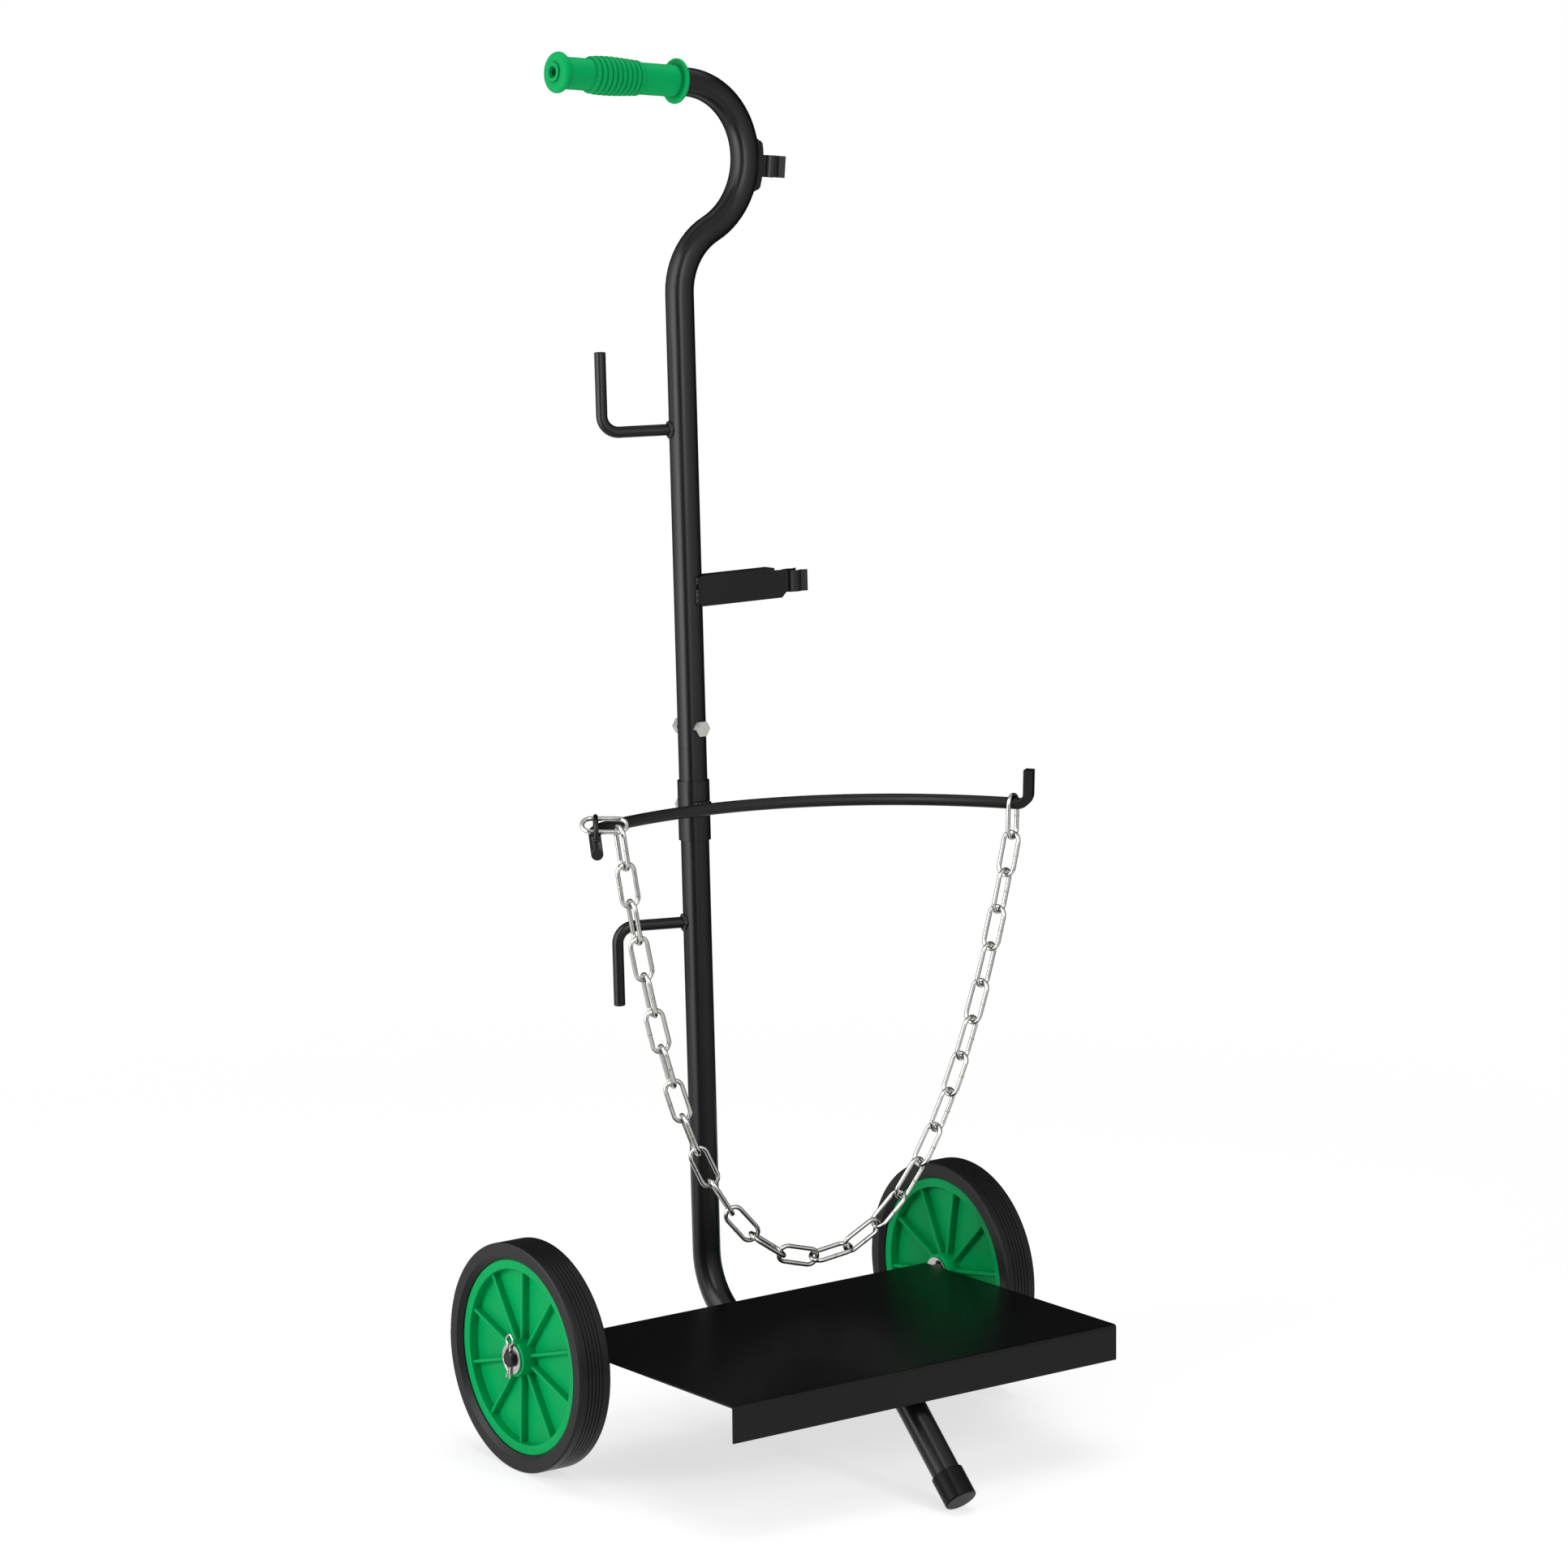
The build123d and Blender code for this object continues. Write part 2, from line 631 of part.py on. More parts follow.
# Lower clip bracket: folded sheet in front of the mast, with a top flange and an end tab
bracket_face = tube_radius + seat_gap + bracket_sheet
bracket_top = bracket_bottom + bracket_height
bracket_middle = bracket_bottom + bracket_height / 2
bracket_back = bracket_face - bracket_depth
tab_centre = (bracket_back + bracket_face - bracket_sheet) / 2
lower_clip_frame = Plane(
    origin=mast_point(bracket_end + seat_gap, bracket_middle, tab_centre), x_dir=across, z_dir=mast_up
)
with BuildPart() as lower_clip_bracket:
    with BuildSketch(mast_frame.offset(bracket_face - bracket_sheet)):
        with Locations((bracket_start, bracket_bottom)):
            Rectangle(bracket_end - bracket_start, bracket_height, align=(Align.MIN, Align.MIN))
        chamfer(vertices().group_by(Axis.X)[-1].sort_by(Axis.Y)[0], bracket_corner)
        fillet(vertices().group_by(Axis.X)[0], bracket_corner)
        with Locations((bracket_flange_end, bracket_top)):
            Rectangle(
                bracket_end, 2 * bracket_step, align=(Align.MIN, Align.CENTER), mode=Mode.SUBTRACT
            )
    extrude(amount=bracket_sheet)
    with BuildSketch(mast_frame.offset(bracket_back)):
        with Locations((tube_radius + side_gap, bracket_top)):
            Rectangle(
                bracket_flange_end - tube_radius - side_gap, bracket_sheet, align=(Align.MIN, Align.MAX)
            )
        with Locations((bracket_end, bracket_middle)):
            Rectangle(bracket_sheet, clip_strip_width, align=(Align.MAX, Align.CENTER))
    extrude(amount=bracket_depth - bracket_sheet)
    with Locations(Plane(origin=lower_clip_frame.origin, z_dir=across)):
        Cylinder(rivet_diameter / 2 + bolt_play, 4 * bracket_sheet, mode=Mode.SUBTRACT)

# Upper clip saddle: strip along the outside of the tube's long bend, thinner at its ends
saddle_radius = bulge_radius + tube_radius + saddle_thickness
saddle_half = saddle_length / 2 / saddle_radius * 180 / pi
saddle_top = saddle_half - saddle_taper / saddle_radius * 180 / pi
toe_radius = bulge_radius + tube_radius + saddle_end
saddle_way = across * cos(radians(saddle_angle)) + mast_up * sin(radians(saddle_angle))
bulge_point = (bulge_centre.X, bulge_centre.Y)
saddle_seat = mast_point(*bulge_point) + saddle_way * (saddle_radius - saddle_flat)
saddle_tangent = mast_front.cross(saddle_way)
upper_clip_frame = Plane(origin=saddle_seat + saddle_way * seat_gap, x_dir=saddle_way, z_dir=saddle_tangent)
with BuildPart() as upper_clip_saddle:
    with BuildSketch(mast_frame):
        with BuildLine():
            outside = CenterArc(bulge_point, saddle_radius, saddle_angle - saddle_top, 2 * saddle_top)
            inside = CenterArc(bulge_point, bulge_radius, saddle_angle - saddle_half, 2 * saddle_half)
            for side, end in ((-1, 0), (1, 1)):
                toe_angle = saddle_angle + side * saddle_half
                toe = PolarLine(bulge_point, toe_radius, toe_angle, mode=Mode.PRIVATE)
                Polyline(outside @ end, toe @ 1, inside @ end)
        make_face()
    extrude(amount=saddle_width / 2, both=True)
    with Locations(Plane(origin=mast_point(*bulge_point), z_dir=mast_front)):
        Torus(bulge_radius, tube_radius + seat_gap, mode=Mode.SUBTRACT)
    with Locations(Plane(origin=saddle_seat, x_dir=mast_front, z_dir=saddle_way)):
        Box(2 * saddle_width, saddle_length, saddle_thickness, align=from_base, mode=Mode.SUBTRACT)
        Cylinder(rivet_diameter / 2 + bolt_play, 4 * saddle_thickness, mode=Mode.SUBTRACT)

# Spring clips: open jaws for a round torch handle, on a flat base
jaw_radius = torch_diameter / 2
lip_start = torch_offset + sqrt(jaw_radius ** 2 - (clip_mouth / 2) ** 2)


def make_spring_clip(frame):
    """Return a spring clip whose base is at a frame's origin and whose mouth points along its X."""
    half_mouth = clip_mouth / 2
    with BuildPart() as clip:
        with BuildSketch(frame):
            with Locations((torch_offset, 0)):
                Circle(jaw_radius + clip_sheet)
            Rectangle(torch_offset, clip_neck_width, align=(Align.MIN, Align.CENTER))
            with Locations((torch_offset, 0)):
                Circle(jaw_radius, mode=Mode.SUBTRACT)
                Rectangle(torch_diameter, clip_mouth, align=(Align.MIN, Align.CENTER), mode=Mode.SUBTRACT)
            with Locations((clip_sheet, 0)):
                Rectangle(
                    torch_offset,
                    clip_neck_width - 2 * clip_sheet,
                    align=(Align.MIN, Align.CENTER),
                    mode=Mode.SUBTRACT,
                )
            for side in (-1, 1):
                with BuildLine():
                    Polyline(
                        (lip_start, side * half_mouth),
                        (lip_start + clip_lip, side * (half_mouth + clip_lip_flare)),
                        (lip_start + clip_lip, side * (half_mouth + clip_lip_flare + clip_sheet)),
                        (lip_start, side * (half_mouth + clip_sheet)),
                        close=True,
                    )
                make_face()
        extrude(amount=clip_strip_width / 2, both=True)
        with Locations(Plane(origin=frame.origin, z_dir=frame.x_dir)):
            Cylinder(rivet_diameter / 2 + bolt_play, 4 * clip_sheet, mode=Mode.SUBTRACT)
    return clip.part


# Clip rivets: domed head inside the clip, shank through its base into tab or saddle
rivet_head_seat = clip_sheet + seat_gap
with BuildPart() as clip_rivets:
    for clip_frame in (lower_clip_frame, upper_clip_frame):
        rivet_frame = Plane(origin=clip_frame.origin, z_dir=clip_frame.x_dir)
        with BuildSketch(rivet_frame.offset(rivet_head_seat)):
            Circle(rivet_head_diameter / 2)
        extrude(amount=rivet_head_height, taper=30)
        with BuildSketch(rivet_frame.offset(rivet_head_seat)):
            Circle(rivet_diameter / 2)
        extrude(amount=-(rivet_head_seat + seat_gap + bracket_sheet))

# Hand grip: moulded sleeve with flanges at both ends and a ribbed swell
grip_frame = Plane(origin=handle_start + handle_way * grip_setback, x_dir=handle_way, z_dir=mast_front)
grip_bore = tube_radius + seat_gap
plain_radius = grip_plain / 2
swell_rise = grip_swell / 2 - grip_rib_height - plain_radius
rib_pitch = grip_swell_length / grip_ribs
swell_end = grip_length - grip_swell_start
swell_base = plain_radius - grip_rib_height


def swell_point(step, lift):
    """Return a point of the swell's outline, a number of ribs from its outer end, lifted by a height."""
    share = step / grip_ribs
    rise = swell_rise * sin(pi * share ** grip_swell_skew)
    return (swell_end - step * rib_pitch, plain_radius + rise + lift)


with BuildPart() as grip:
    with BuildSketch(grip_frame):
        Rectangle(grip_length, plain_radius, align=(Align.MIN, Align.MIN))
        with Locations((grip_inner_flange_width / 2, 0)):
            RectangleRounded(grip_inner_flange_width, grip_inner_flange, grip_inner_flange_round)
        with Locations((grip_length - grip_end_flange_width / 2, 0)):
            RectangleRounded(grip_end_flange_width, grip_end_flange, grip_end_flange_round)
        with BuildLine():
            for rib in range(grip_ribs):
                ThreePointArc(
                    swell_point(rib, 0), swell_point(rib + 0.5, grip_rib_height), swell_point(rib + 1, 0)
                )
            Polyline(
                swell_point(grip_ribs, 0),
                (swell_end - grip_swell_length, swell_base),
                (swell_end, swell_base),
                swell_point(0, 0),
            )
        make_face()
        with Locations((grip_length, (grip_end_ring - grip_end_ring_wall) / 2)):
            RectangleRounded(2 * grip_end_ring_height, grip_end_ring_wall, grip_end_ring_round)
        Rectangle(
            2 * grip_length, grip_inner_flange, align=(Align.MIN, Align.MAX), mode=Mode.SUBTRACT
        )
        Rectangle(
            grip_length - grip_end_wall, grip_bore, align=(Align.MIN, Align.MIN), mode=Mode.SUBTRACT
        )
        Rectangle(2 * grip_length, grip_end_hole / 2, align=(Align.MIN, Align.MIN), mode=Mode.SUBTRACT)
    revolve(axis=Axis(handle_start, handle_way))

# Chain link: round wire bent to a long oval, drawn lying along X
link_half = (chain_inner_length - chain_inner_width) / 2
link_round = (chain_inner_width + chain_wire) / 2
with BuildPart() as link:
    with BuildLine() as link_path:
        link_side = Line((-link_half, link_round), (link_half, link_round))
        link_end = JernArc(link_side @ 1, link_side % 1, link_round, -180)
        link_back = Line(link_end @ 1, (-link_half, -link_round))
        JernArc(link_back @ 1, link_back % 1, link_round, -180)
    with BuildSketch(start_plane(link_path.wire())):
        Circle(wire_round)
    sweep(path=link_path.wire())

# First link: leans on the stub, round the staple's inner leg; the chain hangs from its low front side
first_way = Vector(cos(radians(first_link_turn)), sin(radians(first_link_turn)), 0)
tilt = radians(first_link_tilt)
first_down = Vector(first_way.Y, -first_way.X, 0) * cos(tilt) - up * sin(tilt)
stub_side = up.cross(stub_way)
first_centre = (
    stub_start
    + stub_way * staple_back
    + stub_side * first_link_side
    + up * (bar_round + seat_gap + wire_round + link_round * sin(tilt))
)
hang = radians(first_link_hang)
chain_left = (
    first_centre
    + first_way * (link_half + link_round * sin(hang))
    + first_down * (link_round * cos(hang))
)

# Last link: stands upright over the bar just inside its hook
last_turn = radians(bar_right_turn) - last_link_setback / bar_radius
last_seat = bar_frame.from_local_coords(
    Vector(bar_radius * sin(last_turn), bar_radius * (cos(last_turn) - 1) - bar_offset, 0)
)
last_side = Vector(cos(radians(last_link_turn)), sin(radians(last_link_turn)), 0)
last_centre = last_seat + up * (bar_round + seat_gap - chain_inner_length / 2)
chain_right = last_centre - up * (link_half + link_round)

# Hanging links: equal rods in balance, so the slope grows by the same step from link to link
link_pitch = chain_inner_length - chain_play
hang_lift = up * ((chain_wire + chain_play) / 2)
chain_start = chain_left + hang_lift
chain_gap = chain_right + hang_lift - chain_start
chain_rise = chain_gap.Z
chain_level = Vector(chain_gap.X, chain_gap.Y, 0)
chain_span = chain_level.length
chain_way = chain_level.normalized()
chain_normal = up.cross(chain_way)


def link_slopes(step, middle):
    """Return the slope angles of all hanging links, level at a middle place, for a step per link."""
    return [atan(step * (place - middle)) for place in range(chain_count)]


def middle_for(step):
    """Return the level place at which the links climb as far as the chain's two ends differ."""
    low, high = 0.0, float(chain_count)
    for _ in range(60):
        middle = (low + high) / 2
        climb = link_pitch * sum(sin(slope) for slope in link_slopes(step, middle))
        if climb > chain_rise:
            low = middle
        else:
            high = middle
    return (low + high) / 2


def step_for_span():
    """Return the slope step at which the links reach across the chain's span."""
    low, high = 0.01, 10.0
    for _ in range(60):
        step = (low + high) / 2
        reach = link_pitch * sum(cos(slope) for slope in link_slopes(step, middle_for(step)))
        if reach > chain_span:
            low = step
        else:
            high = step
    return (low + high) / 2


slope_step = step_for_span()
link_places = []
link_point = chain_start
for place, slope in enumerate(link_slopes(slope_step, middle_for(slope_step))):
    heading = chain_way * cos(slope) + up * sin(slope)
    roll = radians(90 * (place % 2) + chain_twist * place / (chain_count - 1))
    width_way = chain_normal * cos(roll) + heading.cross(chain_normal) * sin(roll)
    link_places.append(
        Plane(
            origin=link_point + heading * (link_pitch / 2),
            x_dir=heading,
            z_dir=heading.cross(width_way),
        )
    )
    link_point = link_point + heading * link_pitch

with BuildPart() as chain_first_link:
    with Locations(Plane(origin=first_centre, x_dir=first_way, z_dir=first_down.cross(first_way))):
        add(link.part)

with BuildPart() as chain_last_link:
    with Locations(Plane(origin=last_centre, x_dir=up, z_dir=up.cross(last_side))):
        add(link.part)

with BuildPart() as chain_links:
    with Locations(*link_places):
        add(link.part)

pieces = {
    "lower_tube": lower_tube.part,
    "upper_tube": upper_tube.part,
    "joint_spigot": joint_spigot.part,
    "joint_bolt": joint_bolt.part,
    "joint_nut": joint_nut.part,
    "collar": collar.part,
    "collar_screw": collar_screw.part,
    "arc_bar": arc_bar.part,
    "chain_staple": chain_staple.part,
    "upper_hose_hook": make_hose_hook(upper_hook_level, 1),
    "lower_hose_hook": make_hose_hook(lower_hook_level, -1),
    "lower_clip_bracket": lower_clip_bracket.part,
    "lower_clip": make_spring_clip(lower_clip_frame),
    "upper_clip_saddle": upper_clip_saddle.part,
    "upper_clip": make_spring_clip(upper_clip_frame),
    "clip_rivets": clip_rivets.part,
    "grip": grip.part,
    "foot_cap": foot_cap.part,
    "load_plate": load_plate.part,
    "plate_bolts": plate_bolts.part,
    "front_rail": front_rail.part,
    "axle": axle.part,
    "axle_stop_pins": axle_stop_pins.part,
    "inner_washers": inner_washers.part,
    "outer_washers": outer_washers.part,
    "wheel_clips": wheel_clips.part,
    "rim_left": make_rim(-wheel_x, left_wheel_turn),
    "rim_right": make_rim(wheel_x, right_wheel_turn),
    "tyre_left": make_tyre(-wheel_x),
    "tyre_right": make_tyre(wheel_x),
    "chain_first_link": chain_first_link.part,
    "chain_last_link": chain_last_link.part,
    "chain_links": chain_links.part,
}

os.makedirs("parts", exist_ok=True)
for name, piece in pieces.items():
    piece.label = name
    export_step(piece, f"parts/{name}.step")
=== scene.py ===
import logging
import math
from collections.abc import Callable, Iterator, Sequence
from contextlib import contextmanager
from dataclasses import dataclass
from enum import Enum

import bmesh
import bpy
import numpy as np
from mathutils import Matrix, Vector


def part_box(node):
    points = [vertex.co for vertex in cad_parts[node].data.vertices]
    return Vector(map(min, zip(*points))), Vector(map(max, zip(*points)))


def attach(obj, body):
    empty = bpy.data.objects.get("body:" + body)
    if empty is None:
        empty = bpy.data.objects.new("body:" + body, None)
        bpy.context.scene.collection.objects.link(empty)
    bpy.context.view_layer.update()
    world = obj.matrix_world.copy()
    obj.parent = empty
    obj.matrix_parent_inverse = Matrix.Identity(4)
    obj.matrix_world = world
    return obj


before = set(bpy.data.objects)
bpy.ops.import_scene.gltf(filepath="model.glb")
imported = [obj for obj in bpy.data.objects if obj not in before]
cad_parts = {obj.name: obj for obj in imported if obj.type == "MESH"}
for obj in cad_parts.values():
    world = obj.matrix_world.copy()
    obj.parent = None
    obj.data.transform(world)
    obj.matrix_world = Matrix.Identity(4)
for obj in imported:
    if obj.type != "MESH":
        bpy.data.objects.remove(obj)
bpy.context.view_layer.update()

log = logging.getLogger("bottle_cart")

# Sizes below are metres, angles degrees. MM turns a size in millimetres to metres.
MM = 0.001
ACROSS = Vector((1.0, 0.0, 0.0))
UP = Vector((0.0, 0.0, 1.0))

# The sRGB curve: a straight foot up to a knee, and a power of the offset share above it
SRGB_KNEE = 0.04045
SRGB_FOOT = 12.92
SRGB_OFFSET = 0.055
SRGB_POWER = 2.4

# A noise pattern keeps mostly between these values, so what it drives is stretched from them
NOISE_LOW, NOISE_HIGH = 0.3, 0.7
MOTTLE_DETAIL, GRAIN_DETAIL = 3.0, 2.0
# How far a finish's tone drifts with its mottle
TONE_LOW, TONE_HIGH = 0.95, 1.04
# Rays that look for crevices, to paint shade into them, and for edges
CREVICE_SHADE_RAYS, EDGE_RAYS = 8, 4
# A Mix node has sockets of one name for each kind of data, so its colour sockets go by number
MIX_FIRST, MIX_SECOND, MIX_RESULT = 6, 7, 2
HALF_TURN = 180.0

NodeInputs = dict[str | int, object]


class Body(Enum):
    """The cart's bodies that new pieces ride on."""

    FRAME = "frame"
    CHAIN = "chain"


class Slot(Enum):
    """The record's material slots."""

    POWDER_COAT = "powder_coat"
    SPRING_STEEL = "spring_steel"
    ZINC_STEEL = "zinc_steel"
    GREEN_PLASTIC = "green_plastic"
    TYRE_RUBBER = "tyre_rubber"
    CAP_RUBBER = "cap_rubber"


class RailSide(Enum):
    """The sides of the front rail, as signs of the way to the rear."""

    FRONT = -1
    REAR = 1


class SaddleEnd(Enum):
    """The ends of the upper clip's saddle, as signs of the way up."""

    LOWER = -1
    UPPER = 1


class Level(Enum):
    """The levels at which the glow screen's light is set."""

    FOOT = "foot"
    MIDDLE = "middle"
    TOP = "top"


def linear(code: str) -> tuple[float, float, float, float]:
    """Turn an sRGB hex value to linear colour.

    Args:
        code: six hex digits, red, green and blue.

    Returns:
        The linear red, green and blue, and an alpha of 1.
    """
    shares = [int(code[place : place + 2], 16) / 255 for place in (0, 2, 4)]
    values = [
        s / SRGB_FOOT if s <= SRGB_KNEE else ((s + SRGB_OFFSET) / (1 + SRGB_OFFSET)) ** SRGB_POWER
        for s in shares
    ]
    return (values[0], values[1], values[2], 1.0)


def put(
    tree: bpy.types.NodeTree, kind: str, inputs: NodeInputs | None = None, **settings: object
) -> bpy.types.Node:
    """Add a node to a tree, with its settings, input values and links.

    Args:
        tree: the node tree.
        kind: the node's type name.
        inputs: for each input's name or number, a value or a socket to link from.
        settings: the node's own properties.

    Returns:
        The new node.
    """
    node = tree.nodes.new(kind)
    for name, value in settings.items():
        setattr(node, name, value)
    for name, value in (inputs or {}).items():
        if isinstance(value, bpy.types.NodeSocket):
            tree.links.new(value, node.inputs[name])
        else:
            node.inputs[name].default_value = value
    return node


def empty_tree(owner: bpy.types.Material | bpy.types.World) -> bpy.types.NodeTree:
    """Give a new material or world an empty node tree.

    Args:
        owner: the material or world.

    Returns:
        Its node tree.
    """
    owner.use_nodes = True
    owner.node_tree.nodes.clear()
    return owner.node_tree


def seen_share(tree: bpy.types.NodeTree) -> bpy.types.NodeSocket:
    """Tell what the eye sees, directly, mirrored or through glass, from what only lights.

    Args:
        tree: the node tree of a part of the studio.

    Returns:
        A socket that is 1 for what is seen and 0 for what only lights.
    """
    path = put(tree, "ShaderNodeLightPath").outputs
    seen = path["Is Camera Ray"]
    for way in ("Is Glossy Ray", "Is Transmission Ray"):
        larger = put(tree, "ShaderNodeMath", {0: seen, 1: path[way]}, operation="MAXIMUM")
        seen = larger.outputs["Value"]
    return seen


@dataclass(frozen=True)
class Finish:
    """A surface finish, made once as a material and shared by all pieces that have it.

    The mottle is a slow drift of gloss and tone. The grain is a fine bump, drawn coarser than
    the real one, which is too fine to show. Edges are softened by edge_mm, and shade is painted
    into the colour by ambient occlusion in crevices up to crevice_shade_mm wide.
    """

    name: str
    slot: Slot
    colour: str
    roughness: float
    mottle_mm: float = 60.0
    mottle: float = 0.03
    grain_mm: float = 2.5
    grain_depth: float = 0.01
    edge_mm: float = 0.5
    specular: float = 0.5
    metallic: float = 0.0
    crevice_shade_mm: float = 0.0

    def material(self) -> bpy.types.Material:
        """Find this finish's material, or make it on first use.

        Returns:
            The material.
        """
        found = bpy.data.materials.get(self.name)
        if found is not None:
            return found
        made = bpy.data.materials.new(self.name)
        tree = empty_tree(made)
        put(tree, "ShaderNodeOutputMaterial", {"Surface": self.shade(tree).outputs["BSDF"]})
        return made

    def shade(self, tree: bpy.types.NodeTree) -> bpy.types.Node:
        """Build the surface: mottled gloss and tone, fine grain, painted shade in crevices, softened
        edges.

        Args:
            tree: the material's node tree.

        Returns:
            The shader node.
        """
        place = put(tree, "ShaderNodeTexCoord").outputs["Object"]
        mottle = put(
            tree,
            "ShaderNodeTexNoise",
            {"Vector": place, "Scale": 1 / (self.mottle_mm * MM), "Detail": MOTTLE_DETAIL},
        )
        grain = put(
            tree,
            "ShaderNodeTexNoise",
            {"Vector": place, "Scale": 1 / (self.grain_mm * MM), "Detail": GRAIN_DETAIL},
        )
        drift = {"Value": mottle.outputs["Fac"], "From Min": NOISE_LOW, "From Max": NOISE_HIGH}
        gloss = put(
            tree,
            "ShaderNodeMapRange",
            drift | {"To Min": self.roughness - self.mottle, "To Max": self.roughness + self.mottle},
        )
        tone = put(tree, "ShaderNodeMapRange", drift | {"To Min": TONE_LOW, "To Max": TONE_HIGH})
        colour = put(
            tree,
            "ShaderNodeHueSaturation",
            {"Color": linear(self.colour), "Value": tone.outputs["Result"]},
        )
        # Painted shade: ambient occlusion darkens the colour in crevices
        if self.crevice_shade_mm:
            colour = put(
                tree,
                "ShaderNodeAmbientOcclusion",
                {"Color": colour.outputs["Color"], "Distance": self.crevice_shade_mm * MM},
                samples=CREVICE_SHADE_RAYS,
                only_local=True,
            )
        bump = put(
            tree,
            "ShaderNodeBump",
            {"Height": grain.outputs["Fac"], "Strength": 1.0, "Distance": self.grain_depth * MM},
        )
        if self.edge_mm:
            edge = put(tree, "ShaderNodeBevel", {"Radius": self.edge_mm * MM}, samples=EDGE_RAYS)
            tree.links.new(edge.outputs["Normal"], bump.inputs["Normal"])
        return put(
            tree,
            "ShaderNodeBsdfPrincipled",
            {
                "Base Color": colour.outputs["Color"],
                "Roughness": gloss.outputs["Result"],
                "Normal": bump.outputs["Normal"],
                "Metallic": self.metallic,
                "Specular IOR Level": self.specular,
            },
        )


# Polyester powder coat on steel tube: satin black, with a faint orange peel in its highlights
POWDER_COAT = Finish(
    "satin_black_powder_coat",
    Slot.POWDER_COAT,
    "0B0B0C",
    0.27,
    mottle=0.02,
    grain_depth=0.003,
    specular=0.21,
)
# The same coat on flat sheet: laid flatter, so that it mirrors what stands on it softly and evenly;
# its colour is set darker than the tube coat's, painted shade on the same paint
SHADED_SHEET_COAT = Finish(
    "sheet_black_powder_coat",
    Slot.POWDER_COAT,
    "040405",
    0.32,
    mottle=0.015,
    grain_depth=0.003,
    specular=0.17,
)
# The same coat on folded brackets, cured duller; its colour is set lighter than the tube coat's,
# painted light that makes flat faces an even dark grey
LIT_BRACKET_COAT = Finish(
    "bracket_black_powder_coat",
    Slot.POWDER_COAT,
    "141415",
    0.45,
    mottle=0.02,
    grain_depth=0.003,
    specular=0.13,
)
# The same coat on the drawn bar, duller so that its sheen is broad; its colour is set a little
# greyer than the tube coat's, painted light on the same paint
LIT_BAR_COAT = Finish(
    "bar_powder_coat_painted_light",
    Slot.POWDER_COAT,
    "0F0E0D",
    0.34,
    mottle=0.02,
    grain_depth=0.003,
    specular=0.22,
)
# Blackened spring steel strip: a thin oxide, as dark as the paint and crisper at its edges
SPRING_STEEL = Finish(
    "blackened_spring_steel",
    Slot.SPRING_STEEL,
    "0C0C0D",
    0.26,
    grain_mm=4.0,
    edge_mm=0.35,
    specular=0.22,
)
# Bright zinc plate on steel wire and bolts: near mirror, a little cloudy
ZINC = Finish(
    "bright_zinc_plate",
    Slot.ZINC_STEEL,
    "B2B1AD",
    0.17,
    mottle_mm=8.0,
    mottle=0.05,
    metallic=1.0,
    edge_mm=0.3,
)
# Flash of a resistance weld under the same plating: duller and greyer than the drawn wire
SEAM_ZINC = Finish(
    "weld_flash_zinc", Slot.ZINC_STEEL, "9A9994", 0.4, mottle_mm=4.0, metallic=1.0, edge_mm=0.2
)
# Injection-moulded polypropylene: even green with a soft sheen and faint flow marks
GREEN_PLASTIC = Finish(
    "moulded_green_polypropylene",
    Slot.GREEN_PLASTIC,
    "008B4A",
    0.36,
    grain_depth=0.003,
    edge_mm=0.25,
    specular=0.04,
)
# The grip's softer green vinyl: the same colour, its ribs sharp, and painted shade darkens each
# valley to a line
GRIP_VINYL = Finish(
    "ribbed_green_vinyl",
    Slot.GREEN_PLASTIC,
    "008B4A",
    0.4,
    grain_depth=0.002,
    edge_mm=0.0,
    specular=0.05,
    crevice_shade_mm=4.0,
)
# Solid moulded rubber: charcoal black with a dull sheen
TYRE_RUBBER = Finish(
    "solid_tyre_rubber", Slot.TYRE_RUBBER, "111111", 0.36, edge_mm=0.3, specular=0.16
)
# Dipped vinyl foot: smooth, a little darker and tighter in its sheen than the tyre
CAP_RUBBER = Finish("soft_vinyl_cap", Slot.CAP_RUBBER, "0A0A0B", 0.3, edge_mm=0.5, specular=0.08)


def dress(finish: Finish, *names: str) -> None:
    """Give CAD nodes a finish.

    Args:
        finish: the finish for all their faces.
        names: the nodes' names.
    """
    for name in names:
        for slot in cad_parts[name].material_slots:
            slot.material = finish.material()
        log.info("dressed %s as %s", name, finish.name)


def settle(piece: bpy.types.Object, finish: Finish, body: Body) -> None:
    """Give a new piece its finish and the body that it rides on.

    Args:
        piece: the finished object, its place in its mesh.
        finish: its finish.
        body: the body that carries it.
    """
    piece.data.materials.clear()
    piece.data.materials.append(finish.material())
    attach(piece, body.value)
    log.info("built %s, %d faces", piece.name, len(piece.data.polygons))


def clear_selection() -> None:
    """Deselect every object."""
    bpy.ops.object.select_all(action="DESELECT")


def hold(piece: bpy.types.Object) -> None:
    """Make a piece the only selected object, and the active one.

    Args:
        piece: the object to hold.
    """
    clear_selection()
    piece.select_set(True)
    bpy.context.view_layer.objects.active = piece


@contextmanager
def editing(piece: bpy.types.Object) -> Iterator[bmesh.types.BMesh]:
    """Open a piece in edit mode.

    Args:
        piece: the object to edit.

    Yields:
        The edit mesh, for choosing what the operators act on.
    """
    hold(piece)
    bpy.ops.object.mode_set(mode="EDIT")
    bpy.ops.mesh.select_mode(type="VERT")
    yield bmesh.from_edit_mesh(piece.data)
    bpy.ops.object.mode_set(mode="OBJECT")


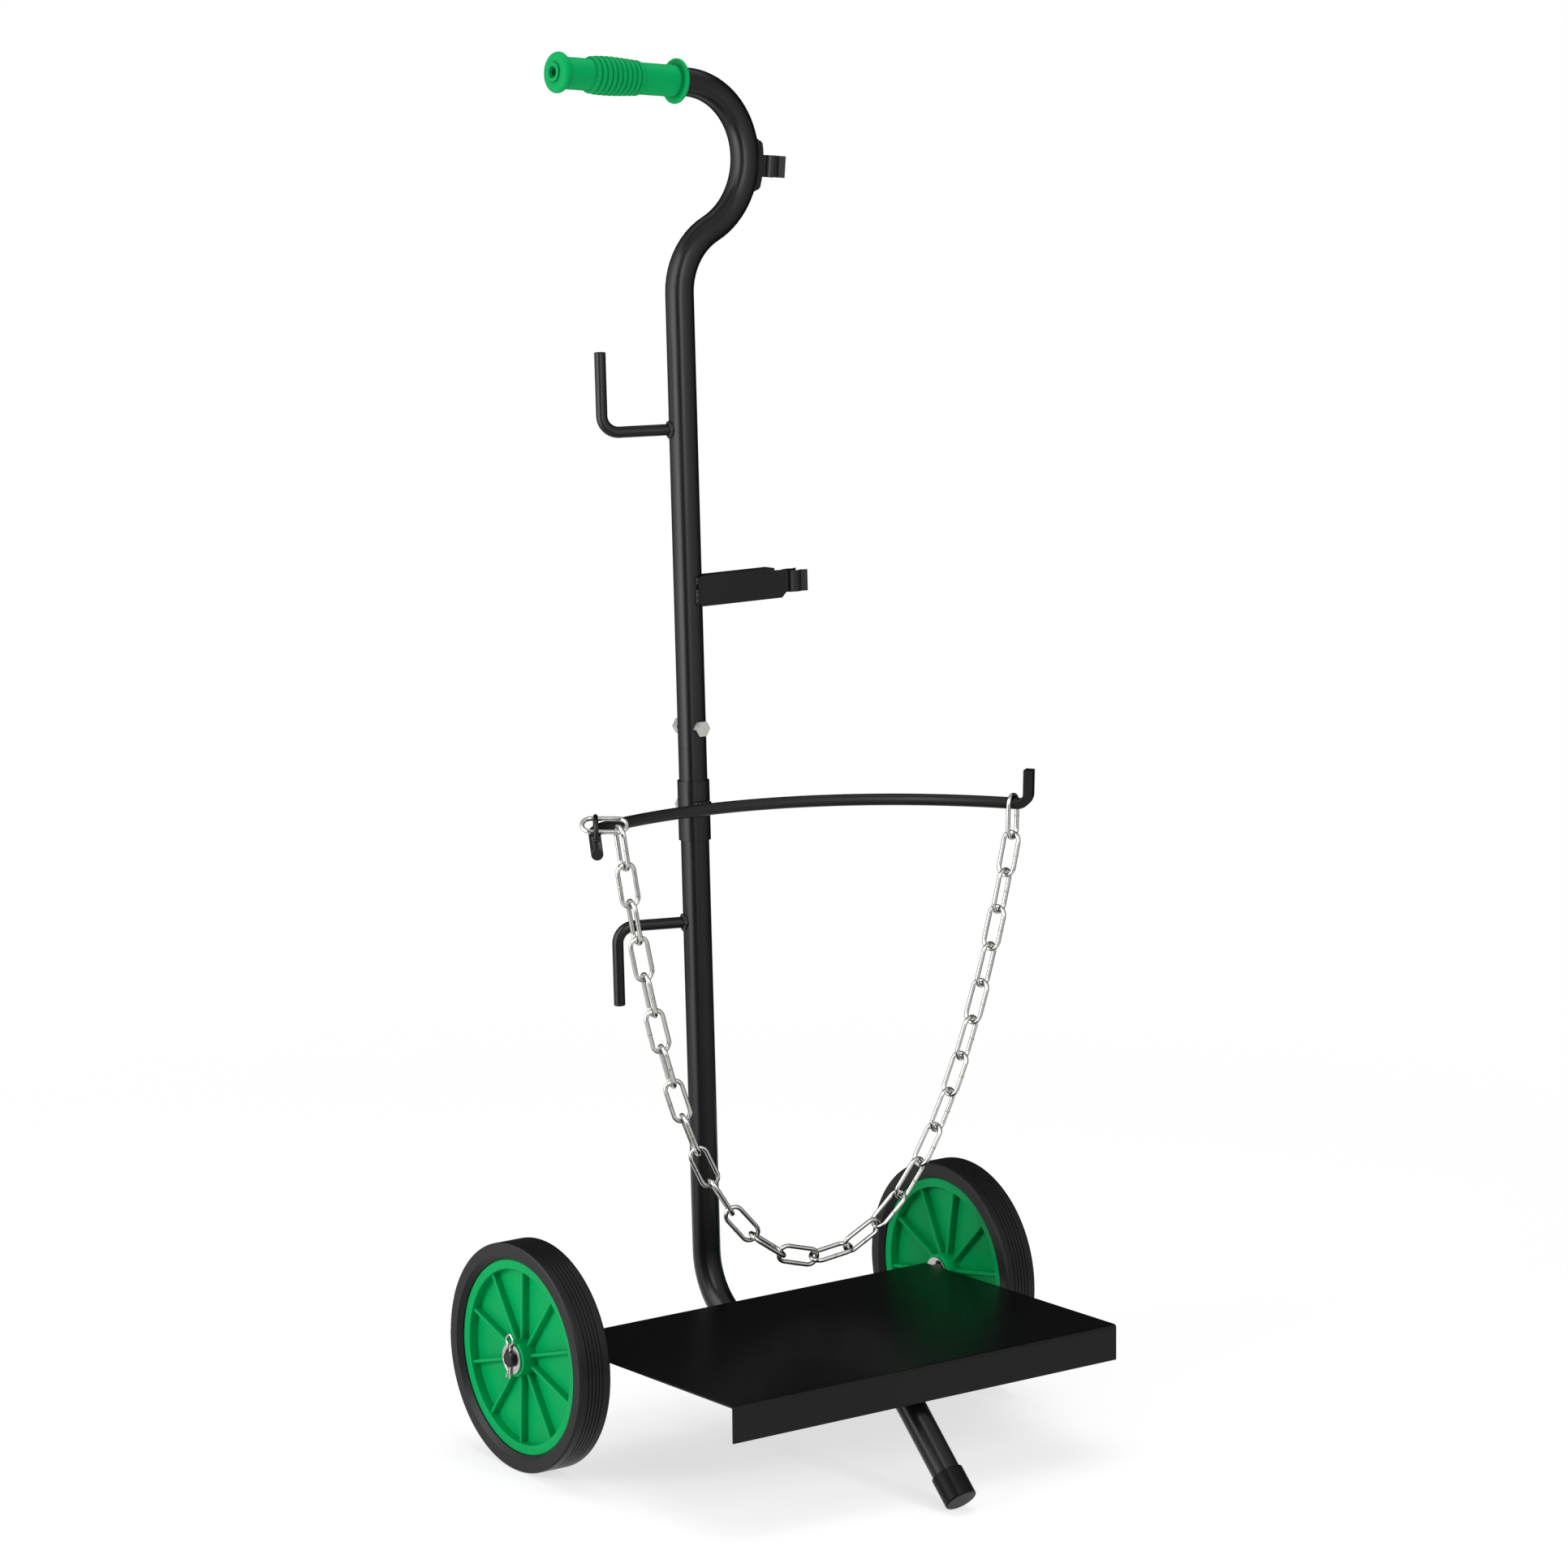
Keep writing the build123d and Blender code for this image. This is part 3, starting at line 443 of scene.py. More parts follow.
def choose(mesh: bmesh.types.BMesh, test: Callable[[Vector], bool]) -> None:
    """Select the vertices of an edit mesh that pass a test of their place.

    Args:
        mesh: the edit mesh.
        test: says of a vertex's place whether it is chosen.
    """
    bpy.ops.mesh.select_all(action="DESELECT")
    for vertex in mesh.verts:
        vertex.select_set(test(vertex.co))
    mesh.select_flush(True)


def apply_place(piece: bpy.types.Object) -> None:
    """Put an object's place, turn and scale into its mesh."""
    hold(piece)
    bpy.ops.object.transform_apply(location=True, rotation=True, scale=True)


@dataclass
class WeldBead:
    """A rippled weld bead laid along a line of points."""

    name: str
    points: Sequence[Vector]
    radius: float
    closed: bool = False
    ripples: int = 7
    ripple: float = 0.16
    sides: int = 3
    end_size: float = 0.35
    end_slope: float = 4.0
    merge: float = 0.01 * MM

    def build(self) -> bpy.types.Object:
        """Model the bead: a ring of vertices moved along the seam, then given a round section.

        Returns:
            The bead as a mesh object.
        """
        clear_selection()
        bpy.ops.mesh.primitive_circle_add(vertices=len(self.points), radius=self.radius)
        path = bpy.context.object
        path.name = self.name
        with editing(path) as mesh:
            mesh.verts.ensure_lookup_table()
            for place, point in enumerate(self.points):
                bpy.ops.mesh.select_all(action="DESELECT")
                mesh.verts[place].select_set(True)
                bpy.ops.transform.translate(value=point - mesh.verts[place].co)
            if not self.closed:
                self.open_ring(mesh)
        bpy.ops.object.convert(target="CURVE")
        self.lay_metal(path.data)
        bpy.ops.object.convert(target="MESH")
        with editing(path):
            bpy.ops.mesh.select_all(action="SELECT")
            bpy.ops.mesh.remove_doubles(threshold=self.merge)
            bpy.ops.mesh.normals_make_consistent(inside=False)
        bpy.ops.object.shade_smooth()
        return path

    def open_ring(self, mesh: bmesh.types.BMesh) -> None:
        """Cut the edge between the last point and the first.

        Args:
            mesh: the edit mesh of the ring.
        """
        ends = {mesh.verts[0], mesh.verts[len(self.points) - 1]}
        bpy.ops.mesh.select_all(action="DESELECT")
        bpy.ops.mesh.select_mode(type="EDGE")
        for edge in mesh.edges:
            edge.select_set(set(edge.verts) == ends)
        bpy.ops.mesh.delete(type="EDGE")

    def lay_metal(self, curve: bpy.types.Curve) -> None:
        """Give the path a round section that swells with each ripple and thins at open ends.

        Args:
            curve: the path.
        """
        curve.bevel_depth = self.radius
        curve.bevel_resolution = self.sides
        curve.use_fill_caps = not self.closed
        points = curve.splines[0].points
        steps = len(points) if self.closed else len(points) - 1
        for place, point in enumerate(points):
            share = place / steps
            swell = 1 + self.ripple * math.sin(2 * math.pi * self.ripples * share)
            taper = min(1.0, self.end_size + self.end_slope * min(share, 1 - share))
            point.radius = swell if self.closed else swell * taper


def ring_points(count: int, place: Callable[[float], Vector]) -> list[Vector]:
    """Return points of a closed line at even angles, each from a function of the angle."""
    return [place(2 * math.pi * step / count) for step in range(count)]


def line_points(
    count: int, start: float, end: float, place: Callable[[float], Vector]
) -> list[Vector]:
    """Return points of an open line, each from a function of the way between start and end."""
    return [place(start + (end - start) * step / (count - 1)) for step in range(count)]


@dataclass
class MastLine:
    """The mast's axis, its directions and the tube's size."""

    base: Vector = Vector((0.0, 156.34, 300.0)) * MM
    lean: float = 3.58
    tube_radius: float = 12.5 * MM

    @property
    def up(self) -> Vector:
        """The way up along the mast."""
        return Vector((0.0, math.sin(math.radians(self.lean)), math.cos(math.radians(self.lean))))

    @property
    def front(self) -> Vector:
        """The way to the front, square to the mast."""
        return Vector((0.0, -math.cos(math.radians(self.lean)), math.sin(math.radians(self.lean))))

    def point(self, x: float, level: float, forward: float = 0.0) -> Vector:
        """Return the point at a place across, up along and in front of the mast's axis."""
        return self.base + ACROSS * x + self.up * level + self.front * forward


@dataclass
class Mast:
    """The two tubes, what joins them, the hose hooks and their welds."""

    line: MastLine
    hook_yaw: float = 20.0
    hook_radius: float = 5.0 * MM
    upper_hook: float = 573.0 * MM
    lower_hook: float = 138.0 * MM
    bead_radius: float = 2.3 * MM
    bead_lift: float = 0.25
    bead_steps: int = 56
    bead_ripples: int = 9

    def build(self) -> None:
        """Dress the tubes and fasteners and lay the hooks' welds."""
        dress(POWDER_COAT, "lower_tube", "upper_tube", "joint_spigot")
        dress(POWDER_COAT, "upper_hose_hook", "lower_hose_hook")
        dress(ZINC, "joint_bolt", "joint_nut")
        for word, level in (("upper", self.upper_hook), ("lower", self.lower_hook)):
            settle(self.hook_weld(f"{word}_hook_weld", level), POWDER_COAT, Body.FRAME)

    def hook_weld(self, name: str, level: float) -> bpy.types.Object:
        """Lay the bead round a hook's root, where the rod meets the round tube.

        Args:
            name: the piece's name.
            level: the hook's level along the mast.

        Returns:
            The bead.
        """
        yaw = math.radians(self.hook_yaw)
        out = ACROSS * -math.cos(yaw) - self.line.front * math.sin(yaw)
        side = out.cross(self.line.up)
        root = self.line.point(0.0, level)
        reach = self.hook_radius + self.bead_lift * self.bead_radius

        def on_tube(angle: float) -> Vector:
            """Find a point of the seam.

            Args:
                angle: the way round the rod.

            Returns:
                The point there.
            """
            aside = reach * math.sin(angle)
            depth = math.sqrt(self.line.tube_radius**2 - aside**2)
            return root + out * depth + side * aside + self.line.up * (reach * math.cos(angle))

        points = ring_points(self.bead_steps, on_tube)
        bead = WeldBead(name, points, self.bead_radius, closed=True, ripples=self.bead_ripples)
        return bead.build()


@dataclass
class HandGrip:
    """The moulded hand grip."""

    def build(self) -> None:
        """Dress the grip."""
        dress(GRIP_VINYL, "grip")


@dataclass
class Deck:
    """The load plate with its bolts, the rail and the foot under it, and the welds there."""

    axle_centre: Vector = Vector((0.0, 85.8, 100.0)) * MM
    tilt: float = 1.95
    rod_radius: float = 7.0 * MM
    tube_radius: float = 12.5 * MM
    tube_drop: float = 16.5 * MM
    bead_radius: float = 1.7 * MM
    bead_steps: int = 48
    tack_length: float = 16.0 * MM
    tack_radius: float = 1.8 * MM
    tack_steps: int = 13
    tack_ripples: int = 4
    tack_places: tuple[float, ...] = (-128.0 * MM, -52.0 * MM, 52.0 * MM, 128.0 * MM)

    def build(self) -> None:
        """Dress the plate, rail and foot, and lay the welds under the plate."""
        dress(SHADED_SHEET_COAT, "load_plate")
        dress(POWDER_COAT, "front_rail")
        dress(CAP_RUBBER, "foot_cap")
        dress(ZINC, "plate_bolts")
        rail_low, rail_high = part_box("front_rail")
        rail_centre = (rail_low + rail_high) / 2
        for name, centre in (("axle_weld", self.axle_centre), ("rail_weld", rail_centre)):
            settle(self.seat_weld(name, centre), POWDER_COAT, Body.FRAME)
        for number, x in enumerate(self.tack_places, start=1):
            for side in RailSide:
                name = f"rail_tack_{side.name.lower()}_{number}"
                settle(self.rail_tack(name, rail_centre, x, side), POWDER_COAT, Body.FRAME)

    def local(self, centre: Vector, x: float, y: float, z: float) -> Vector:
        """Find a point by its place from a rod's centre, along the plate's tilt.

        Args:
            centre: the rod's middle.
            x: how far across.
            y: how far behind.
            z: how far above.

        Returns:
            The point.
        """
        tilt = math.radians(self.tilt)
        rear = Vector((0.0, math.cos(tilt), -math.sin(tilt)))
        above = Vector((0.0, math.sin(tilt), math.cos(tilt)))
        return centre + ACROSS * x + rear * y + above * z

    def seat_weld(self, name: str, centre: Vector) -> bpy.types.Object:
        """Lay the bead where a cross rod sits in its notch on the tube.

        Args:
            name: the piece's name.
            centre: the rod's middle.

        Returns:
            The bead.
        """
        half = math.sqrt(self.tube_radius**2 - (self.tube_drop - self.rod_radius) ** 2)

        def on_seat(angle: float) -> Vector:
            """Find a point of the seam.

            Args:
                angle: the way round the notch.

            Returns:
                The point there.
            """
            x = half * math.cos(angle)
            z = math.sqrt(self.tube_radius**2 - x**2) - self.tube_drop
            y = math.copysign(math.sqrt(max(self.rod_radius**2 - z**2, 0.0)), math.sin(angle))
            return self.local(centre, x, y, z)

        points = ring_points(self.bead_steps, on_seat)
        return WeldBead(name, points, self.bead_radius, closed=True).build()

    def rail_tack(
        self, name: str, centre: Vector, x: float, side: RailSide
    ) -> bpy.types.Object:
        """Lay a short tack in the corner between rail and plate, where it touches both.

        Args:
            name: the piece's name.
            centre: the rail's middle.
            x: the tack's place across.
            side: the rail's side that it is on.

        Returns:
            The tack.
        """
        aside = side.value * 2 * math.sqrt(self.rod_radius * self.tack_radius)
        points = line_points(
            self.tack_steps,
            x - self.tack_length / 2,
            x + self.tack_length / 2,
            lambda way: self.local(centre, way, aside, self.rod_radius - self.tack_radius),
        )
        return WeldBead(name, points, self.tack_radius, ripples=self.tack_ripples).build()


@dataclass
class WheelSet:
    """The axle, both wheels, and the washers, pins and clips that keep them on."""

    def build(self) -> None:
        """Dress the axle, wheels and small parts."""
        dress(GREEN_PLASTIC, "rim_left", "rim_right")
        dress(TYRE_RUBBER, "tyre_left", "tyre_right")
        dress(POWDER_COAT, "axle", "axle_stop_pins")
        dress(ZINC, "inner_washers", "outer_washers", "wheel_clips")


@dataclass
class RetainingBar:
    """The collar, the bar on it with its hook and staple, and their welds."""

    line: MastLine
    level: float = 241.0 * MM
    yaw: float = 3.73
    collar_radius: float = 14.15 * MM
    bar_radius: float = 5.25 * MM
    bar_offset: float = 19.49 * MM
    seam_height: float = 4.4 * MM
    seam_half: float = 9.0 * MM
    seam_steps: int = 25
    seam_ripples: int = 5
    bead_radius: float = 2.2 * MM
    stub_start: Vector = Vector((-140.55, 122.61, 540.53)) * MM
    stub_way: Vector = Vector((-0.548, -0.836, 0.0))
    staple_feet: tuple[float, ...] = (20.5 * MM, 50.5 * MM)
    staple_radius: float = 2.0 * MM
    foot_bead: float = 1.3 * MM
    foot_lift: float = 0.3
    foot_steps: int = 32
    foot_ripples: int = 6

    def build(self) -> None:
        """Dress the collar, bar and staple and lay their welds."""
        dress(POWDER_COAT, "collar", "chain_staple")
        dress(LIT_BAR_COAT, "arc_bar")
        dress(ZINC, "collar_screw")
        for word, height in (("upper", self.seam_height), ("lower", -self.seam_height)):
            settle(self.collar_weld(f"bar_weld_{word}", height), POWDER_COAT, Body.FRAME)
        for word, along in zip(("inner", "outer"), self.staple_feet):
            settle(self.foot_weld(f"staple_weld_{word}", along), POWDER_COAT, Body.FRAME)

    def collar_weld(self, name: str, height: float) -> bpy.types.Object:
        """Lay the bead in the corner between bar and collar.

        Args:
            name: the piece's name.
            height: how far above the bar's axis the seam runs.

        Returns:
            The bead.
        """
        yaw = math.radians(self.yaw)
        along = Vector((math.cos(yaw), -math.sin(yaw), 0.0))
        ahead = Vector((-math.sin(yaw), -math.cos(yaw), 0.0))
        bar_back = self.bar_offset - math.sqrt(self.bar_radius**2 - height**2)
        lean = height * math.tan(math.radians(self.line.lean))
        centre = self.line.point(0.0, self.level)

        def in_corner(way: float) -> Vector:
            """Find a point of the seam.

            Args:
                way: how far along the bar.

            Returns:
                The point there.
            """
            collar_face = math.sqrt(self.collar_radius**2 - way**2)
            forward = (collar_face + bar_back) / 2 - lean
            return centre + along * way + ahead * forward + UP * height

        points = line_points(self.seam_steps, -self.seam_half, self.seam_half, in_corner)
        return WeldBead(name, points, self.bead_radius, ripples=self.seam_ripples).build()

    def foot_weld(self, name: str, along: float) -> bpy.types.Object:
        """Lay the bead round a foot of the staple, on the round bar.

        Args:
            name: the piece's name.
            along: the foot's place along the stub.

        Returns:
            The bead.
        """
        way = self.stub_way.normalized()
        side = UP.cross(way)
        reach = self.staple_radius + self.foot_lift * self.foot_bead

        def on_bar(angle: float) -> Vector:
            """Find a point of the seam.

            Args:
                angle: the way round the wire.

            Returns:
                The point there.
            """
            aside = reach * math.sin(angle)
            rise = math.sqrt(self.bar_radius**2 - aside**2)
            place = along + reach * math.cos(angle)
            return self.stub_start + way * place + side * aside + UP * rise

        points = ring_points(self.foot_steps, on_bar)
        bead = WeldBead(name, points, self.foot_bead, closed=True, ripples=self.foot_ripples)
        return bead.build()


@dataclass
class TorchClips:
    """The two spring clips with their bracket, saddle and rivets, and the welds of both seats."""

    line: MastLine
    bracket_edge: float = 2.0 * MM
    bracket_seams: tuple[tuple[float, float], ...] = (
        (418.5 * MM, 434.0 * MM),
        (436.5 * MM, 444.0 * MM),
    )
    bend_across: float = 6.93 * MM
    bend_level: float = 805.78 * MM
    bend_radius: float = 67.0 * MM
    saddle_angle: float = -6.0
    saddle_half_turn: float = 15.6
    saddle_half_width: float = 6.6 * MM
    bead_radius: float = 1.9 * MM
    bead_inset: float = 1 / 2
    bead_lift: float = 1 / 3
    seam_steps: int = 17
    seam_ripples: int = 3

    def build(self) -> None:
        """Dress bracket, saddle and clips and lay their welds."""
        dress(LIT_BRACKET_COAT, "lower_clip_bracket", "upper_clip_saddle")
        dress(SPRING_STEEL, "lower_clip", "upper_clip")
        dress(ZINC, "clip_rivets")
        for number, (low, high) in enumerate(self.bracket_seams, start=1):
            bead = self.bracket_weld(f"bracket_weld_{number}", low, high)
            settle(bead, POWDER_COAT, Body.FRAME)
        for end in SaddleEnd:
            bead = self.saddle_weld(f"saddle_weld_{end.name.lower()}", end)
            settle(bead, POWDER_COAT, Body.FRAME)

    def bracket_weld(self, name: str, low: float, high: float) -> bpy.types.Object:
        """Lay a bead along the bracket's edge on the mast.

        Args:
            name: the piece's name.
            low: the bead's lower level along the mast.
            high: its upper level.

        Returns:
            The bead.
        """
        x = self.bracket_edge - self.bead_inset * self.bead_radius
        surface = math.sqrt(self.line.tube_radius**2 - x**2)
        forward = surface + self.bead_lift * self.bead_radius
        points = line_points(
            self.seam_steps, low, high, lambda level: self.line.point(x, level, forward)
        )
        return WeldBead(name, points, self.bead_radius, ripples=self.seam_ripples).build()

    def saddle_weld(self, name: str, end: SaddleEnd) -> bpy.types.Object:
        """Lay a bead across an end of the saddle, on the bent tube.

        Args:
            name: the piece's name.
            end: the saddle's end.

        Returns:
            The bead.
        """
        angle = math.radians(self.saddle_angle + end.value * self.saddle_half_turn)

        def on_bend(aside: float) -> Vector:
            """Find a point of the seam.

            Args:
                aside: how far in front of the mast's plane.

            Returns:
                The point there.
            """
            reach = self.bend_radius + math.sqrt(self.line.tube_radius**2 - aside**2)
            across = self.bend_across + reach * math.cos(angle)
            return self.line.point(across, self.bend_level + reach * math.sin(angle), aside)

        half = self.saddle_half_width
        points = line_points(self.seam_steps, -half, half, on_bend)
        return WeldBead(name, points, self.bead_radius, ripples=self.seam_ripples).build()


@dataclass
class ChainSeams:
    """The chain, and the butt-weld seam in the side of each link."""

    wire_radius: float = 2.0 * MM
    side_offset: float = 7.7 * MM
    seam_length: float = 2.2 * MM
    lip_place: float = 0.44 * MM
    flash: float = 0.22 * MM
    notch: float = 0.05 * MM
    sides: int = 20
    near: float = 0.01 * MM
    merge: float = 0.001 * MM

    def build(self) -> None:
        """Dress the links and set a seam in each."""
        pattern = self.model_seam()
        seats = {
            "chain_links": Body.CHAIN,
            "chain_first_link": Body.FRAME,
            "chain_last_link": Body.FRAME,
        }
        for node, body in seats.items():
            dress(ZINC, node)
            rings = [self.set_seam(pattern, link) for link in self.links_of(node)]
            settle(self.join(rings, f"{node}_seams"), SEAM_ZINC, body)
        bpy.data.objects.remove(pattern)

    def model_seam(self) -> bpy.types.Object:
        """Model one seam round a wire along X: two swollen lips and the notch between them.

        Returns:
            The seam, at the origin.
        """
        clear_selection()
        bpy.ops.mesh.primitive_cylinder_add(
            vertices=self.sides,
            radius=self.wire_radius,
            depth=self.seam_length,
            end_fill_type="NOTHING",
            rotation=(0.0, math.pi / 2, 0.0),
        )
        seam = bpy.context.object
        apply_place(seam)
        rises = {-self.lip_place: self.flash, 0.0: self.notch, self.lip_place: self.flash}
        with editing(seam):
            for cut in rises:
                bpy.ops.mesh.select_all(action="SELECT")
                bpy.ops.mesh.bisect(plane_co=(cut, 0.0, 0.0), plane_no=ACROSS)
            mesh = bmesh.from_edit_mesh(seam.data)
            for place, rise in rises.items():
                choose(mesh, lambda co, at=place: abs(co.x - at) < self.near)
                size = 1 + rise / self.wire_radius
                bpy.ops.transform.resize(
                    value=(1.0, size, size), center_override=(place, 0.0, 0.0)
                )
        bpy.ops.object.shade_smooth()
        return seam

    def links_of(self, node: str) -> list[np.ndarray]:
        """Split a copy of a chain node into its links.

        Args:
            node: the node's name.

        Returns:
            Each link's points, one row each.
        """
        copy = bpy.data.objects.new(f"{node}_copy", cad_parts[node].data.copy())
        bpy.context.scene.collection.objects.link(copy)
        with editing(copy):
            bpy.ops.mesh.select_all(action="SELECT")
            bpy.ops.mesh.remove_doubles(threshold=self.merge)
            bpy.ops.mesh.separate(type="LOOSE")
        parts = list(bpy.context.selected_objects)
        links = [np.array([vertex.co for vertex in part.data.vertices]) for part in parts]
        for part in parts:
            bpy.data.objects.remove(part)
        return sorted(links, key=lambda points: tuple(points.mean(axis=0)))

    def set_seam(self, pattern: bpy.types.Object, points: np.ndarray) -> bpy.types.Object:
        """Copy the seam into the lower side of a link.

        Args:
            pattern: the seam at the origin.
            points: the link's points.

        Returns:
            The copy, its place in its mesh.
        """
        centre = points.mean(axis=0)
        ways = np.linalg.eigh(np.cov((points - centre).T)).eigenvectors
        along = Vector(ways[:, 2])
        aside = Vector(ways[:, 1])
        if aside.z > 0:
            aside.negate()
        turn = Matrix((along, aside, along.cross(aside))).transposed().to_4x4()
        copy = bpy.data.objects.new("seam", pattern.data.copy())
        bpy.context.scene.collection.objects.link(copy)
        copy.data.transform(Matrix.Translation(Vector(centre) + aside * self.side_offset) @ turn)
        return copy

    def join(self, rings: list[bpy.types.Object], name: str) -> bpy.types.Object:
        """Join copies of the seam into one piece.

        Args:
            rings: the copies.
            name: the piece's name.

        Returns:
            The joined piece.
        """
        hold(rings[0])
        for ring in rings:
            ring.select_set(True)
        bpy.ops.object.join()
        rings[0].name = name
        return rings[0]


@dataclass
class PhotoCamera:
    """The camera at the photograph's viewing angle."""

    place: Vector = Vector((-2853.1, -3766.6, 1548.9)) * MM
    azimuth: float = -36.853
    elevation: float = 11.485
    roll: float = 0.684
    focal_pixels: float = 6959.4
    image_pixels: float = 1932.0
    sensor: float = 36.0

    def build(self) -> None:
        """Make the camera and give it to the scene."""
        data = bpy.data.cameras.new("photo_camera")
        data.sensor_width = self.sensor
        data.lens = self.sensor * self.focal_pixels / self.image_pixels
        camera = bpy.data.objects.new("photo_camera", data)
        bpy.context.scene.collection.objects.link(camera)
        turn, rise = math.radians(self.azimuth), math.radians(self.elevation)
        back = Vector(
            (math.sin(turn) * math.cos(rise), -math.cos(turn) * math.cos(rise), math.sin(rise))
        )
        level = UP.cross(back).normalized()
        upright = back.cross(level)
        roll = math.radians(self.roll)
        right = level * math.cos(roll) + upright * math.sin(roll)
        above = upright * math.cos(roll) - level * math.sin(roll)
        view = Matrix((right, above, back)).transposed().to_4x4()
        camera.matrix_world = Matrix.Translation(self.place) @ view
        bpy.context.scene.camera = camera


@dataclass
class SoftBox:
    """A large soft lamp that faces the cart. Reflections show the glow screen in its stead."""

    name: str
    place: Vector
    width: float
    height: float
    power: float
    target: Vector = Vector((0.0, 0.0, 0.5))

    def build(self) -> None:
        """Hang the lamp and aim it."""
        data = bpy.data.lights.new(self.name, "AREA")
        data.shape = "RECTANGLE"
        data.size = self.width
        data.size_y = self.height
        data.energy = self.power
        lamp = bpy.data.objects.new(self.name, data)
        bpy.context.scene.collection.objects.link(lamp)
        lamp.location = self.place
        lamp.rotation_mode = "QUATERNION"
        lamp.rotation_quaternion = (self.target - self.place).to_track_quat("-Z", "Y")
        lamp.visible_glossy = False


@dataclass(frozen=True)
class Glow:
    """The glow screen's light at one azimuth from the front, as shares of its full strength."""

    azimuth: float
    foot: float
    middle: float
    top: float


@dataclass
class GlowScreen:
    """A round dark screen seen only in reflections, whose glowing panel, stripe and faint fill paint
    the cart's reflections.
    """

    radius: float = 1.15
    height: float = 2.0
    panels: int = 96
    strength: float = 8.5
    # The heights between which the foot gives way to the middle, and the middle to the top
    rises: tuple[tuple[float, float], ...] = ((0.1, 0.6), (0.6, 0.95))
    # A broad panel at the left: it rises slowly from the rear and falls off quickly to the front
    left_panel: tuple[Glow, ...] = (
        Glow(-169.0, 0.02, 0.04, 0.04),
        Glow(-148.0, 0.09, 0.15, 0.15),
        Glow(-131.0, 0.19, 0.34, 0.34),
        Glow(-117.0, 0.36, 0.7, 0.6),
        Glow(-103.0, 0.5, 1.0, 0.8),
        Glow(-93.0, 0.5, 1.0, 0.8),
        Glow(-81.0, 0.2, 0.3, 0.3),
    )
    # No glow between the panel and the stripe: a dark band painted into the reflections
    dark_gap: tuple[Glow, ...] = (Glow(-72.0, 0.0, 0.0, 0.02), Glow(-46.0, 0.0, 0.0, 0.05))
    # A narrow stripe behind the camera, strongest at the top
    front_stripe: tuple[Glow, ...] = (Glow(-39.0, 0.0, 0.5, 1.0), Glow(-31.0, 0.02, 0.28, 0.9))
    # A faint fill from the stripe round to the right, gone at the rear
    right_fill: tuple[Glow, ...] = (
        Glow(-20.0, 0.03, 0.2, 0.3),
        Glow(-12.0, 0.04, 0.2, 0.3),
        Glow(11.0, 0.1, 0.18, 0.2),
        Glow(43.0, 0.08, 0.13, 0.12),
        Glow(75.5, 0.02, 0.03, 0.05),
        Glow(94.0, 0.003, 0.003, 0.0),
    )

    def build(self) -> None:
        """Model the screen from a ring drawn up to its height."""
        clear_selection()
        bpy.ops.mesh.primitive_circle_add(vertices=self.panels, radius=self.radius)
        screen = bpy.context.object
        screen.name = "glow_screen"
        with editing(screen):
            bpy.ops.mesh.select_all(action="SELECT")
            bpy.ops.mesh.extrude_region_move(TRANSFORM_OT_translate={"value": UP * self.height})
        screen.data.materials.append(self.reflected_glow())
        # The screen glows only in reflections: it paints reflected light and dark bands, and neither
        # lights nor shades the cart
        screen.visible_camera = False
        screen.visible_diffuse = False
        screen.visible_shadow = False
        screen.visible_transmission = False

    def reflected_glow(self) -> bpy.types.Material:
        """Make the screen's glow, seen only in reflections, its strength by azimuth and height.

        Returns:
            The material.
        """
        made = bpy.data.materials.new("reflection_only_glow")
        tree = empty_tree(made)
        place = put(tree, "ShaderNodeTexCoord").outputs["Object"]
        parts = put(tree, "ShaderNodeSeparateXYZ", {"Vector": place}).outputs
        ahead = put(tree, "ShaderNodeMath", {0: parts["Y"], 1: -1.0}, operation="MULTIPLY")
        azimuth = put(
            tree, "ShaderNodeMath", {0: parts["X"], 1: ahead.outputs["Value"]}, operation="ARCTAN2"
        )
        way = put(
            tree,
            "ShaderNodeMapRange",
            {"Value": azimuth.outputs["Value"], "From Min": -math.pi, "From Max": math.pi},
        ).outputs["Result"]
        colour, *higher = [self.row(tree, way, level) for level in Level]
        for row, (low, high) in zip(higher, self.rises):
            rise = put(
                tree, "ShaderNodeMapRange", {"Value": parts["Z"], "From Min": low, "From Max": high}
            )
            mixed = put(
                tree,
                "ShaderNodeMix",
                {"Factor": rise.outputs["Result"], MIX_FIRST: colour, MIX_SECOND: row},
                data_type="RGBA",
            )
            colour = mixed.outputs[MIX_RESULT]
        light = put(tree, "ShaderNodeEmission", {"Color": colour, "Strength": self.strength})
        put(tree, "ShaderNodeOutputMaterial", {"Surface": light.outputs["Emission"]})
        return made

    def row(
        self, tree: bpy.types.NodeTree, way: bpy.types.NodeSocket, level: Level
    ) -> bpy.types.NodeSocket:
        """Lay out the light of one level round the screen.

        Args:
            tree: the glow's node tree.
            way: the share of a full turn from the rear.
            level: the level.

        Returns:
            The light's colour.
        """
        ramp = put(tree, "ShaderNodeValToRGB", {"Fac": way})
        stops = ramp.color_ramp.elements
        for glow in (*self.left_panel, *self.dark_gap, *self.front_stripe, *self.right_fill):
            share = getattr(glow, level.value)
            turn = (glow.azimuth + HALF_TURN) / (2 * HALF_TURN)
            stops.new(turn).color = (share, share, share, 1.0)
        stops.remove(stops[len(stops) - 1])
        stops.remove(stops[0])
        return ramp.outputs["Color"]


